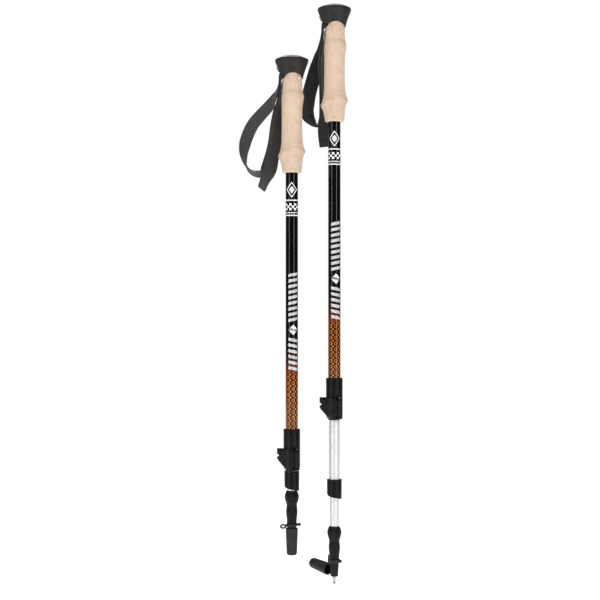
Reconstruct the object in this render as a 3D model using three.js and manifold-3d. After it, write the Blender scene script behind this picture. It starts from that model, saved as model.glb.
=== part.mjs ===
// A pair of three-section trekking poles with cork grips, wrist straps and lever locks.
// Millimetres, +Z up. Each pole is built about its own axis with z = 0 at the bottom of its
// cork grip, fingers' side towards +X and strap side towards -X. The origin of the pair is the
// middle of the left pole's grip.
import * as THREE from 'three';
import { mergeVertices } from 'three/addons/utils/BufferGeometryUtils.js';
import Module from 'manifold-3d';

const wasm = await Module();
wasm.setup();

// ---- driving dimensions ----
const GAP = 0.3;                 // clearance between pieces that touch
const WALL = 0.6;                // tube wall
const ROUND = 20;                // facets round a shaft
const UPPER_R = 8;               // tube radii: 16, 14 and 12 mm tubes
const MIDDLE_R = 7;
const LOWER_R = 6;
const POLE_SPACING = 55.5;       // between the two shafts
const RIGHT_RISE = 66.5;         // the right pole stands this much higher
const GRIP_CENTRE = 70;          // from the bottom of the cork to the middle of the hand
const RIGHT_MIDDLE_OUT = 77;     // how far the right pole's sections are drawn out
const RIGHT_LOWER_OUT = 36;
const RIGHT_RING_TURN = -40;     // degrees its keeper ring is turned round the ferrule

const CORK_TOP = 134;
const LIP_Z = 148.3;             // top edge of the flared cap
const LIP_R = 21.9;
const DOME_R = 18;
const DOME_RISE = 5.8;
const ARCH = { x: 2, z: 114, r: 15.4 };   // the cork's rounded top, seen from the side
const CAP_BOTTOM = 115.5;
const SPIGOT_BOTTOM = 100;
const SLOT = { x: -5.2, halfWidth: 9.6, bottom: 123.2, top: 131 };
const WEDGE = { x: -8.8, halfWidth: 7.5, bottom: 131.6, top: 140 };

const UPPER_TUBE = { top: 115, bottom: -372 };
const MIDDLE_TUBE = { top: 80, bottom: -403 };
const LOWER_TUBE = { top: 30, bottom: -455 };
const FERRULE_TOP = -414;

const UPPER_LOCK = {
  top: -334, height: 54, r: 10.8, shelf: 38.3, tubeR: UPPER_R, innerR: MIDDLE_R,
  barrelR: 3.4, lugs: [25, 52], wrap: 118, turn: 0, tabReach: 19, sweep: 12, slant: 0,
};
const LOWER_LOCK = {
  top: -389, height: 26, r: 9.7, shelf: 14.3, tubeR: MIDDLE_R, innerR: LOWER_R,
  barrelR: 2.8, lugs: [3, 22], wrap: 54, turn: 180, tabReach: 16.5, sweep: 0, slant: 4,
};
const LEVER_START = -62;         // degrees round the shaft from +X to the lever's pin
const LEVER_WALL = 2.5;
const LUG_HEIGHT = 3;
const PIN_R = 1.2;

const STRAP_WIDTH = 18.5;
const STRAP_THICK = 1.5;
const STRAP_TOP = 123.6;         // where the strands leave the cap
const STRAND_X = { outer: -18.6, inner: -16.8, tail: -15 };

const COLOURS = {
  cap: [0x3c3a39, 0.55, 0], dome: [0x8d8b88, 0.3, 0], wedge: [0x343232, 0.5, 0],
  webbing: [0x3a3836, 0.9, 0], cork: [0xecd6c4, 0.85, 0], gloss: [0x0e0e10, 0.22, 0.3],
  alloy: [0xd9d9da, 0.35, 0.9], lock: [0x262426, 0.5, 0], steel: [0xa8a8a8, 0.3, 1],
  bush: [0xc9c6bd, 0.6, 0], ferrule: [0x2d2b2d, 0.6, 0], rubber: [0x2a292a, 0.85, 0],
};

// ---- helpers ----
function solidOf(geometry) {
  const bare = geometry.clone();
  for (const name of Object.keys(bare.attributes)) {
    if (name !== 'position') bare.deleteAttribute(name);
  }
  const merged = mergeVertices(bare, 1e-4);
  return new wasm.Manifold(new wasm.Mesh({
    numProp: 3,
    vertProperties: new Float32Array(merged.attributes.position.array),
    triVerts: new Uint32Array(merged.index.array),
  }));
}

function geometryOf(solid) {
  const { vertProperties, triVerts } = solid.getMesh();
  const geometry = new THREE.BufferGeometry();
  geometry.setAttribute('position', new THREE.BufferAttribute(new Float32Array(vertProperties), 3));
  geometry.setIndex(new THREE.BufferAttribute(new Uint32Array(triVerts), 1));
  return geometry;
}

function cut(base, ...tools) {
  return geometryOf(tools.reduce((solid, tool) => solid.subtract(solidOf(tool)), solidOf(base)));
}

function join(base, ...others) {
  return geometryOf(others.reduce((solid, other) => solid.add(solidOf(other)), solidOf(base)));
}

function common(base, ...tools) {
  return geometryOf(tools.reduce((solid, tool) => solid.intersect(solidOf(tool)), solidOf(base)));
}

// A solid of revolution about Z. The outline of [radius, z] pairs runs up the outside.
function turned(outline, segments = ROUND) {
  const points = outline.map(([r, z]) => new THREE.Vector2(r, z));
  return new THREE.LatheGeometry(points, segments).rotateX(Math.PI / 2);
}

function rod(r, bottom, top, segments = ROUND) {
  return turned([[0, bottom], [r, bottom], [r, top], [0, top]], segments);
}

function pipe(outer, inner, bottom, top) {
  const outline = [[outer, bottom], [outer, top], [inner, top], [inner, bottom], [outer, bottom]];
  return turned(outline);
}

function block([x0, x1], [y0, y1], [z0, z1]) {
  const box = new THREE.BoxGeometry(x1 - x0, y1 - y0, z1 - z0);
  return box.translate((x0 + x1) / 2, (y0 + y1) / 2, (z0 + z1) / 2);
}

// A flat outline in the XZ plane, thickened along Y.
function slab(shape, y0, y1) {
  const options = { depth: y1 - y0, bevelEnabled: false, curveSegments: 10 };
  return new THREE.ExtrudeGeometry(shape, options).rotateX(Math.PI / 2).translate(0, y1, 0);
}

// A flat outline in the XY plane, thickened along Z.
function plate(shape, z0, z1) {
  const options = { depth: z1 - z0, bevelEnabled: false, curveSegments: 7 };
  return new THREE.ExtrudeGeometry(shape, options).translate(0, 0, z0);
}

// A flat band swept along a route. Each stop is [x, y, z, roll]: at roll 0 the band faces
// along Y, and at 90 degrees its width lies along Y.
function band(stops, width, thickness, stepsPerStop = 4) {
  const curve = new THREE.CatmullRomCurve3(stops.map(([x, y, z]) => new THREE.Vector3(x, y, z)));
  const steps = (stops.length - 1) * stepsPerStop;
  const positions = [];
  const index = [];
  for (let i = 0; i <= steps; i += 1) {
    const t = i / steps;
    const place = t * (stops.length - 1);
    const before = Math.min(Math.floor(place), stops.length - 2);
    const roll = THREE.MathUtils.degToRad(
      THREE.MathUtils.lerp(stops[before][3], stops[before + 1][3], place - before),
    );
    const centre = curve.getPoint(t);
    const along = curve.getTangent(t);
    const sideways = new THREE.Vector3().crossVectors(along, new THREE.Vector3(0, 1, 0)).normalize();
    const depth = new THREE.Vector3().crossVectors(sideways, along);
    const across = sideways.multiplyScalar(Math.cos(roll)).addScaledVector(depth, Math.sin(roll));
    const normal = new THREE.Vector3().crossVectors(along, across);
    for (const [a, n] of [[1, 1], [-1, 1], [-1, -1], [1, -1]]) {
      const corner = centre.clone().addScaledVector(across, a * width / 2);
      corner.addScaledVector(normal, n * thickness / 2);
      positions.push(corner.x, corner.y, corner.z);
    }
  }
  for (let i = 0; i < steps; i += 1) {
    for (let k = 0; k < 4; k += 1) {
      const a = 4 * i + k;
      const b = 4 * i + (k + 1) % 4;
      index.push(a, b, b + 4, a, b + 4, a + 4);
    }
  }
  const last = 4 * steps;
  index.push(0, 2, 1, 0, 3, 2, last, last + 1, last + 2, last, last + 2, last + 3);
  const geometry = new THREE.BufferGeometry();
  geometry.setAttribute('position', new THREE.Float32BufferAttribute(positions, 3));
  geometry.setIndex(index);
  return geometry;
}

function mesh(name, geometry, look) {
  const [color, roughness, metalness] = COLOURS[look];
  const material = new THREE.MeshStandardMaterial({ color, roughness, metalness });
  const piece = new THREE.Mesh(geometry, material);
  piece.name = name;
  return piece;
}

// ---- grip ----
const GRIP_BASE = { x: 13.4, frontBias: 0.2, sideLoss: 0.9 };
const GRIP_RIDGES = [
  { z: 99, frontLift: 0, sideLift: 3, up: 7, down: 9, front: 1.9, rear: 0.6 },
  { z: 24.3, frontLift: 3.2, sideLift: 8, up: 10, down: 7, front: 4, rear: 4.8 },
];

function gripRadius(angle, z) {
  const forward = Math.cos(angle);
  const side = Math.sin(angle) ** 2;
  const taper = 1.2 * Math.max(0, 1 - z / 16) ** 2;
  let radius = GRIP_BASE.x + GRIP_BASE.frontBias * forward - GRIP_BASE.sideLoss * side - taper;
  for (const ridge of GRIP_RIDGES) {
    const offset = z - ridge.z - ridge.frontLift * forward - ridge.sideLift * side;
    const height = THREE.MathUtils.lerp(ridge.rear, ridge.front, (1 + forward) / 2);
    const spread = offset > 0 ? ridge.up : ridge.down;
    radius += height * (1 - 0.3 * side) * Math.exp(-((offset / spread) ** 2));
  }
  return radius;
}

// The region under the cork's arched top, grown by a margin, through the whole grip.
function underArch(margin) {
  const shape = new THREE.Shape();
  const floor = CAP_BOTTOM + margin;
  const r = ARCH.r + margin;
  const lift = Math.asin((floor - ARCH.z) / r);
  shape.moveTo(-40, -5);
  shape.lineTo(40, -5);
  shape.lineTo(40, floor);
  shape.lineTo(ARCH.x + r * Math.cos(lift), floor);
  shape.absarc(ARCH.x, ARCH.z, r, lift, Math.PI - lift, false);
  shape.lineTo(-40, floor);
  return slab(shape, -40, 40);
}

function strapSlot(bottom) {
  return block([-30, SLOT.x], [-SLOT.halfWidth, SLOT.halfWidth], [bottom, SLOT.top]);
}

function plugHole(side, r, depth) {
  const hole = new THREE.CylinderGeometry(r, r, depth, 12);
  return hole.translate(9.2, side * 10.2, 122.5);
}

function corkGrip(plugSide) {
  const rows = 22;
  const bore = UPPER_R + GAP;
  const outline = [];
  for (let i = 0; i <= rows; i += 1) outline.push([13, CORK_TOP * i / rows]);
  outline.push([bore, CORK_TOP], [bore, 0], outline[0]);
  const geometry = turned(outline);
  const place = geometry.attributes.position;
  for (let i = 0; i < place.count; i += 1) {
    const angle = Math.atan2(place.getY(i), place.getX(i));
    const z = place.getZ(i);
    if (Math.hypot(place.getX(i), place.getY(i)) > bore + 1) {
      const radius = gripRadius(angle, z) - (z < 1 ? 0.7 : 0);
      place.setXY(i, radius * Math.cos(angle), radius * Math.sin(angle));
    }
  }
  const shaped = common(geometry, underArch(-GAP));
  return cut(shaped, strapSlot(SLOT.bottom), plugHole(plugSide, 2.2 + GAP, 6.4));
}

const CAP_FLARE = [
  [13.9, CAP_BOTTOM], [14.2, 120.5], [15.1, 126], [16.7, 131.6], [18.7, 137.2], [21.3, 143.8],
  [LIP_R, 146], [21.1, LIP_Z],
];

function capFlare() {
  return turned([[0, CAP_BOTTOM], ...CAP_FLARE, [0, LIP_Z]], 28);
}

function cap() {
  const recess = rod(DOME_R + GAP, LIP_Z - 2.8, LIP_Z + 5, 28);
  const pocket = block(
    [-30, WEDGE.x + GAP],
    [-WEDGE.halfWidth - GAP, WEDGE.halfWidth + GAP],
    [SLOT.top - 1, WEDGE.top + GAP],
  );
  const spigot = turned([
    [0, SPIGOT_BOTTOM], [UPPER_R - WALL - GAP, SPIGOT_BOTTOM],
    [UPPER_R - WALL - GAP, CAP_BOTTOM], [UPPER_R, CAP_BOTTOM], [UPPER_R, 135], [0, 135],
  ]);
  const flare = cut(capFlare(), underArch(0));
  return cut(join(flare, spigot), recess, strapSlot(CAP_BOTTOM - 1), pocket);
}

function capDome() {
  const edge = LIP_Z + 0.1;
  const outline = [[0, LIP_Z - 2.5], [DOME_R, LIP_Z - 2.5]];
  const rings = 5;
  for (let i = 0; i <= rings; i += 1) {
    const a = Math.PI / 2 * i / rings;
    outline.push([DOME_R * Math.cos(a), edge + DOME_RISE * Math.sin(a)]);
  }
  outline[outline.length - 1][0] = 0;
  return turned(outline, 28);
}

function strapWedge() {
  const body = block(
    [-30, WEDGE.x], [-WEDGE.halfWidth, WEDGE.halfWidth], [WEDGE.bottom, WEDGE.top],
  );
  return common(capFlare(), body);
}

function strapAnchor() {
  const half = STRAP_WIDTH / 2;
  return block([-16.3, SLOT.x - GAP - 0.1], [-half, half], [124, 130.4]);
}

// ---- lever locks: each is built with its top face at z = 0 ----
function ringSector(inner, outer, from, to) {
  const shape = new THREE.Shape();
  shape.absarc(0, 0, outer, from, to, to < from);
  shape.absarc(0, 0, inner, to, from, to > from);
  return shape;
}

function pinPlace(lock) {
  const reach = lock.r + GAP + 0.1 + lock.barrelR;
  const angle = THREE.MathUtils.degToRad(LEVER_START);
  return [reach * Math.cos(angle), reach * Math.sin(angle)];
}

function lockBody(lock) {
  const chamfer = 2.5;
  const { r, height } = lock;
  const wide = lock.tubeR + GAP;
  const narrow = lock.innerR + GAP;
  const sleeve = turned([
    [narrow, -height], [r - chamfer, -height], [r, -height + chamfer], [r, -0.8], [r - 0.8, 0],
    [wide, 0], [wide, -lock.shelf], [narrow, -lock.shelf], [narrow, -height],
  ]);
  const [px, py] = pinPlace(lock);
  const [first, last] = lock.lugs;
  const lugs = [[-first - LUG_HEIGHT, -first], [-last, -last + LUG_HEIGHT]].map(([z0, z1]) => {
    const neck = new THREE.Shape();
    const across = new THREE.Vector2(-py, px).normalize().multiplyScalar(lock.barrelR);
    const root = new THREE.Vector2(px, py).multiplyScalar((r - 1.2) / Math.hypot(px, py));
    neck.moveTo(root.x - across.x, root.y - across.y);
    neck.lineTo(px - across.x, py - across.y);
    neck.absarc(px, py, lock.barrelR, Math.atan2(-across.y, -across.x),
      Math.atan2(across.y, across.x), false);
    neck.lineTo(root.x + across.x, root.y + across.y);
    return plate(neck, z0, z1);
  });
  const slit = block([7, 12], [-0.8, 0.8], [-height - 1, -first + 2]);
  slit.rotateZ(THREE.MathUtils.degToRad(LEVER_START));
  const pinHole = rod(PIN_R + GAP, -height - 2, 1, 10).translate(px, py, 0);
  let body = cut(join(sleeve, ...lugs), slit, pinHole);
  if (lock.slant > 0) {
    const ground = new THREE.Shape();
    ground.moveTo(-15, -height - 5);
    ground.lineTo(15, -height - 5);
    ground.lineTo(15, -height + lock.slant * 1.5 - 0.5);
    ground.lineTo(-15, -height - 0.5);
    body = cut(body, slab(ground, -8, 15));
  }
  if (lock === UPPER_LOCK) body = cut(join(body, screwBoss()), screwHole());
  return body;
}

const SCREW = { y: 12.6, z: -38, r: 2, headR: 3.3 };

function screwBoss() {
  return block([-5, 5], [8, 16], [SCREW.z - 4.5, SCREW.z + 4.5]);
}

function alongX(r, x0, x1, segments) {
  const bar = new THREE.CylinderGeometry(r, r, x1 - x0, segments).rotateZ(Math.PI / 2);
  return bar.translate((x0 + x1) / 2, SCREW.y, SCREW.z);
}

function screwHole() {
  return alongX(SCREW.r + GAP, -6, 6, 16);
}

function lockScrew() {
  const socket = alongX(1.5, 6.8, 10, 6);
  return cut(join(alongX(SCREW.r, -4.6, 6, 16), alongX(SCREW.headR, 5.4, 8.4, 16)), socket);
}

function lockPin(lock) {
  const [px, py] = pinPlace(lock);
  const [first, last] = lock.lugs;
  return rod(PIN_R, -last - 0.6, -first + 0.6, 10).translate(px, py, 0);
}

function lockLever(lock) {
  const [px, py] = pinPlace(lock);
  const [first, last] = lock.lugs;
  const inner = lock.r + GAP + 0.1;
  const outer = inner + LEVER_WALL;
  const start = THREE.MathUtils.degToRad(LEVER_START);
  const clear = start - (lock.barrelR + 2.2) / inner;
  const end = THREE.MathUtils.degToRad(LEVER_START - lock.wrap);
  const shell = plate(ringSector(inner, outer, clear, end), -last, -first);
  const root = plate(
    ringSector(inner, outer, start, clear - 0.05), -last + LUG_HEIGHT + GAP, -first - LUG_HEIGHT - GAP,
  );
  const barrel = rod(lock.barrelR, -last + LUG_HEIGHT + GAP, -first - LUG_HEIGHT - GAP, 14);
  barrel.translate(px, py, 0);
  const tab = block([inner + 0.3, lock.tabReach], [-0.2, 2.6], [-last, -first]).rotateZ(end);
  let lever = join(shell, root, barrel, tab);
  lever = cut(lever, rod(PIN_R + GAP, -lock.height - 2, 1, 14).translate(px, py, 0));
  lever = cut(lever, fingerNotch(lock, end));
  if (lock.sweep > 0) lever = cut(lever, leverSweep(lock));
  return lever;
}

function fingerNotch(lock, end) {
  const middle = -(lock.lugs[0] + lock.lugs[1]) / 2 + lock.sweep / 3;
  const shape = new THREE.Shape();
  shape.moveTo(lock.tabReach - 2.6, middle);
  shape.lineTo(lock.tabReach + 1, middle - 3.2);
  shape.lineTo(lock.tabReach + 1, middle + 3.2);
  return slab(shape, -4, 6).rotateZ(end);
}

// Trims the lever's lower edge to a curve that climbs from under the sleeve to the tab.
function leverSweep(lock) {
  const bottom = -lock.lugs[1];
  const shape = new THREE.Shape();
  shape.moveTo(-30, bottom - 2);
  shape.lineTo(4, bottom - 2);
  shape.lineTo(4, bottom);
  shape.quadraticCurveTo(-9, bottom + 1, -lock.tabReach - 1, bottom + lock.sweep);
  shape.lineTo(-30, bottom + lock.sweep);
  return slab(shape, -30, 30);
}

// ---- shaft ends ----
const FERRULE = [
  [6.5, 0], [7.2, -1.6], [8.6, -5], [9, -8], [8.6, -11.5], [6.9, -18], [6.8, -20], [7.4, -25],
  [7.5, -28], [7.2, -32], [6.4, -38.5], [6.4, -42.6], [5.95, -43.2], [5.95, -48], [4.85, -65],
];

function tipFerrule() {
  const outside = [...FERRULE].reverse();
  const bore = LOWER_R + GAP;
  return turned([
    [2.7, -65], ...outside, [bore, 0], [bore, -41.6], [2.7, -41.6], [2.7, -65],
  ]);
}

function carbideTip() {
  return turned([
    [0, -75], [1.5, -75], [1.9, -73.4], [2, -71], [2.9, -67], [2.9, -65.3], [2.4, -65.3],
    [2.4, -46], [0, -46],
  ], 16);
}

function keeperRing() {
  const ring = pipe(7.7, 5.95 + GAP, -46.6, -43.4);
  const stem = block([7, 9.4], [-1, 1], [-45.8, -44.2]);
  const nub = new THREE.SphereGeometry(2.2, 10, 6).translate(10.2, 0, -45);
  return join(ring, stem, nub);
}

const FOOT_LENGTH = 35;
const FOOT_MOUTH = -49;          // the fitted foot's mouth, below the ferrule's top
// The right foot hangs off behind the ferrule: mouth place, tip from upright, turn round the shaft.
const HANGING_FOOT = { x: -12.2, z: -58.2, tip: 95, turn: -53 };

// A hollow rubber foot with its mouth at z = 0 and its sole below.
function rubberFoot() {
  const sole = -FOOT_LENGTH;
  return turned([
    [0, sole], [5.4, sole], [6.5, sole + 0.8], [6.75, sole + 2.4], [7.4, sole + 18], [7.95, -1.4],
    [7.7, 0], [6.4, 0], [5.25, -16.2], [3.6, -17.6], [3.4, -27.4], [0, -27.4],
  ]);
}

// The left foot's tether, folded flat into a small eye beside the ring.
function foldedTether() {
  const eye = new THREE.Shape();
  eye.absellipse(-12.4, -46.4, 4.35, 3.2, 0, 2 * Math.PI, false);
  const hole = new THREE.Path();
  hole.absellipse(-12.6, -46.4, 2.2, 1.35, 0, 2 * Math.PI, true);
  eye.holes.push(hole);
  return slab(eye, -1.4, 1.4);
}

// The right foot's tether, arched from the ring up and over to the foot's rim.
function archedTether() {
  const stops = [
    [-8.8, 0, -45.4, 90], [-9, 0, -41.2, 90], [-10.3, 0, -38.9, 90], [-11.7, 0, -41.2, 90],
    [-11.8, 0, -49.6, 90],
  ];
  return band(stops, 2.8, 1.2);
}

// ---- straps: [x, y, z, roll] along each strand ----
const LEFT_LOOP = [
  [STRAND_X.outer, 0, STRAP_TOP, 90], [-19.4, -1, 112, 86], [-21.8, -4, 100.5, 78],
  [-25, -9, 92.5, 60], [-29.2, -11, 86, 48], [-38.8, -10, 75.6, 42], [-50.2, -7, 62.5, 38],
  [-56.5, -4, 50.5, 36], [-61, -1, 37, 40], [-62.1, 2.5, 22.6, 62], [-58.6, 7, 9.4, 86],
  [-51, 13, 2.6, 108], [-41.5, 18, 1.2, 118], [-33.4, 19.5, 8, 142], [-28, 18, 20, 162],
  [-24.6, 16, 32, 162], [-22.4, 13.6, 43, 158], [-20.4, 11.8, 62, 150], [-18.8, 10.6, 84, 124],
  [-18, 9, 93, 108], [-17.4, 5.2, 102, 98], [STRAND_X.inner, 0.8, 112, 91],
  [STRAND_X.inner, 0, 118, 90], [STRAND_X.inner, 0, STRAP_TOP, 90],
];
const LEFT_TAIL = [
  [STRAND_X.tail, 0, STRAP_TOP, 90], [STRAND_X.tail, 0, 117, 90], [-15, 4.6, 102, 83],
  [-15.5, 8.4, 93, 72], [-16.8, 9, 84, 56], [-19.2, 9.2, 62, 28], [-21.6, 10.6, 43, 22],
  [-23.6, 12.6, 32, 18], [-26.2, 13.4, 20, 14], [-28.8, 11, 6, 14], [-34.6, 8, -7, 44],
  [-39.7, 6, -20.7, 63],
];
const RIGHT_LOOP = [
  [STRAND_X.outer, 0, STRAP_TOP, 90], [-19.2, 1.2, 113, 86], [-20.4, 6, 102, 80],
  [-22.2, 13, 92, 60], [-24.2, 18.5, 80, 30], [-26.8, 21, 70, 12], [-30.2, 22, 56, 6],
  [-33.2, 22.8, 42, 6], [-35.1, 23.4, 28, 6], [-35.6, 24, 18, 10], [-33.6, 24.6, 10.5, 24],
  [-30, 25, 5.2, 44], [-25.6, 25.4, 0, 64], [-21.8, 25.2, -2.2, 78], [-19.6, 23, 6, 86],
  [-17.4, 18.6, 24, 91], [-17, 12.5, 48, 91], [-16.8, 6.4, 74, 90], [STRAND_X.inner, 2, 100, 90],
  [STRAND_X.inner, 0, 114, 90], [STRAND_X.inner, 0, STRAP_TOP, 90],
];
const RIGHT_TAIL = [
  [STRAND_X.tail, 0, STRAP_TOP, 90], [STRAND_X.tail, 0.1, 114, 90], [-15, 1.8, 100, 90],
  [-14.9, 5.8, 76, 89], [-14.5, 11.4, 50, 85], [-13, 17.6, 25, 72], [-11.6, 19.4, 8, 52],
  [-10.9, 18, -8, 28], [-9.6, 15.6, -30.5, 8],
];

// ---- the poles ----
function shaft(r, { bottom, top }) {
  return pipe(r, r - WALL, bottom, top);
}

function sections(prefix, { middleOut, lowerOut, ringTurn }) {
  const group = new THREE.Group();
  const add = (name, geometry, look, drop) => {
    const piece = mesh(`${prefix}_${name}`, geometry, look);
    piece.position.z = drop;
    group.add(piece);
    return piece;
  };
  const middle = -middleOut;
  const lower = -middleOut - lowerOut;
  add('upper_tube', shaft(UPPER_R, UPPER_TUBE), 'gloss', 0);
  add('middle_tube', shaft(MIDDLE_R, MIDDLE_TUBE), 'alloy', middle);
  add('middle_bush', bush(MIDDLE_R, UPPER_R - WALL, MIDDLE_TUBE.top), 'bush', middle);
  add('lower_tube', shaft(LOWER_R, LOWER_TUBE), 'alloy', lower);
  add('lower_bush', bush(LOWER_R, MIDDLE_R - WALL, LOWER_TUBE.top), 'bush', lower);
  for (const [name, lock, drop] of [['upper', UPPER_LOCK, 0], ['lower', LOWER_LOCK, middle]]) {
    const turn = THREE.MathUtils.degToRad(lock.turn);
    const made = [
      [`${name}_lock_body`, lockBody(lock).rotateZ(turn), 'lock'],
      [`${name}_lock_lever`, lockLever(lock).rotateZ(turn), 'lock'],
      [`${name}_lock_pin`, lockPin(lock).rotateZ(turn), 'steel'],
    ];
    for (const [part, geometry, look] of made) add(part, geometry, look, lock.top + drop);
  }
  add('upper_lock_screw', lockScrew(), 'steel', UPPER_LOCK.top);
  add('tip_ferrule', tipFerrule(), 'ferrule', FERRULE_TOP + lower);
  add('carbide_tip', carbideTip(), 'steel', FERRULE_TOP + lower);
  const ring = keeperRing().rotateZ(THREE.MathUtils.degToRad(ringTurn));
  add('keeper_ring', ring, 'rubber', FERRULE_TOP + lower);
  return group;
}

// A guide plug on the top end of an inner tube, running inside the next tube out.
function bush(tubeR, sleeveR, tubeTop) {
  const spigotR = tubeR - WALL - GAP;
  return turned([
    [0, tubeTop - 12], [spigotR, tubeTop - 12], [spigotR, tubeTop + GAP],
    [sleeveR - 0.15, tubeTop + GAP], [sleeveR - 0.15, tubeTop + 8], [sleeveR - 1.4, tubeTop + 10],
    [0, tubeTop + 10],
  ]);
}

function handle(prefix, plugSide, loop, tail) {
  const group = new THREE.Group();
  group.add(
    mesh(`${prefix}_cap`, cap(), 'cap'),
    mesh(`${prefix}_cap_dome`, capDome(), 'dome'),
    mesh(`${prefix}_strap_wedge`, strapWedge(), 'wedge'),
    mesh(`${prefix}_strap_anchor`, strapAnchor(), 'webbing'),
    mesh(`${prefix}_strap_loop`, band(loop, STRAP_WIDTH, STRAP_THICK), 'webbing'),
    mesh(`${prefix}_strap_tail`, band(tail, STRAP_WIDTH, STRAP_THICK), 'webbing'),
    mesh(`${prefix}_cork_grip`, corkGrip(plugSide), 'cork'),
    mesh(`${prefix}_grip_plug`, plugHole(plugSide, 2.2, 4.4), 'cork'),
  );
  return group;
}

const leftPole = new THREE.Group();
leftPole.add(handle('left', -1, LEFT_LOOP, LEFT_TAIL));
leftPole.add(sections('left', { middleOut: 0, lowerOut: 0, ringTurn: 0 }));
const leftFoot = mesh('left_rubber_foot', rubberFoot(), 'rubber');
leftFoot.position.z = FERRULE_TOP + FOOT_MOUTH;
const leftTether = mesh('left_tether', foldedTether(), 'rubber');
leftTether.position.z = FERRULE_TOP;
leftPole.add(leftFoot, leftTether);
leftPole.position.z = -GRIP_CENTRE;

const rightPole = new THREE.Group();
rightPole.add(handle('right', 1, RIGHT_LOOP, RIGHT_TAIL));
rightPole.add(sections('right', {
  middleOut: RIGHT_MIDDLE_OUT, lowerOut: RIGHT_LOWER_OUT, ringTurn: RIGHT_RING_TURN,
}));
const rightEnd = FERRULE_TOP - RIGHT_MIDDLE_OUT - RIGHT_LOWER_OUT;
const rightFoot = mesh('right_rubber_foot', rubberFoot(), 'rubber');
rightFoot.rotation.y = THREE.MathUtils.degToRad(HANGING_FOOT.tip);
rightFoot.position.set(HANGING_FOOT.x, 0, HANGING_FOOT.z);
const rightTether = mesh('right_tether', archedTether(), 'rubber');
const hangingFoot = new THREE.Group();
hangingFoot.add(rightFoot, rightTether);
hangingFoot.rotation.z = THREE.MathUtils.degToRad(HANGING_FOOT.turn);
hangingFoot.position.z = rightEnd;
rightPole.add(hangingFoot);
rightPole.position.set(POLE_SPACING, 0, RIGHT_RISE - GRIP_CENTRE);

const poles = new THREE.Group();
poles.add(leftPole, rightPole);

export default poles;
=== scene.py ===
"""A pair of trekking poles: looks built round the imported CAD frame.

Shapes are written in millimetres about each pole's own axis and scaled to metres when they become
objects. z = 0 is the bottom of the cork grip, but the top of a lock or of the ferrule for the
pieces there, and the mouth of the foot for the foot.
"""
import random
from math import asin, atan2, cos, degrees, exp, hypot, pi, radians, sin, sqrt

import bmesh
import bpy
from mathutils import Matrix, Vector


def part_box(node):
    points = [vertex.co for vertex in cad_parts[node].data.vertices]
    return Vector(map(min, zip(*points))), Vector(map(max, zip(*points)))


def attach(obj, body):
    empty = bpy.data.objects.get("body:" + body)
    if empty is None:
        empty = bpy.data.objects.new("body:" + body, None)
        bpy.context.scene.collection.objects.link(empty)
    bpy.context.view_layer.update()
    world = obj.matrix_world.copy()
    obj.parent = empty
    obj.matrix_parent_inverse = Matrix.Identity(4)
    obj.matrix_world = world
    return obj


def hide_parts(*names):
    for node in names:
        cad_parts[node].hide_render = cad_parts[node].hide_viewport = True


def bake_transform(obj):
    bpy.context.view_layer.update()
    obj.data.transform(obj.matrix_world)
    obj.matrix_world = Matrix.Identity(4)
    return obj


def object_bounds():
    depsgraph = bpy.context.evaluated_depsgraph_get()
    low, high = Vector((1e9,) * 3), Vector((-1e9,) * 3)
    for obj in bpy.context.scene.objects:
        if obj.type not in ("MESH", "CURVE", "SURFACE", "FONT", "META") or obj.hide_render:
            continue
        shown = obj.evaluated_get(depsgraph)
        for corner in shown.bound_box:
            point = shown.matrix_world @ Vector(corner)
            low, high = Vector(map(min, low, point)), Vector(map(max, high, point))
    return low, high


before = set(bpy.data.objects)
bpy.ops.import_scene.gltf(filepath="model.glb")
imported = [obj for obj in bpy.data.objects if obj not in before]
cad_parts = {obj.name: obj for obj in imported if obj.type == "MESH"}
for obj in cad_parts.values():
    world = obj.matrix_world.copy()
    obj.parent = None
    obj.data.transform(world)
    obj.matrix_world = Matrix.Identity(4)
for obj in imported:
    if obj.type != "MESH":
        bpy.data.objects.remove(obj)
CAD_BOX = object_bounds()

MM = 0.001
TAU = 2 * pi
DRAWN_OUT = 0.69    # how far both lower sections can be drawn out together, in metres
FLOOR_GAP = 0.022   # and how far below that the floor lies

# ---- driving dimensions, in millimetres ----
UPPER_TUBE = (-372, 115)
MIDDLE_TUBE = (-403, 80)
LOWER_TUBE = (-455, 30)
UPPER_R, MIDDLE_R, LOWER_R = 8.0, 7.0, 6.0
WALL = 0.6
FERRULE_TOP = -414
CAP_BOTTOM = 115.5
LIP_Z = 148.3
DOME_R = 18
DOME_RISE = 5.0
ARCH_X, ARCH_Z, ARCH_R = 2, 114, 15.4
ARCH_FOOT = 15.37   # how far from ARCH_X the arch opens at the cap's lower edge
SLOT_X, SLOT_HALF, SLOT_BOTTOM, SLOT_TOP = -5.2, 9.6, 123.2, 131
WEDGE_X, WEDGE_HALF, WEDGE_BOTTOM, WEDGE_TOP = -8.8, 7.5, 131.5, 140
GAP = 0.3
STRAP_WIDTH = 18.5
STRAP_THICK = 1.2

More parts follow.
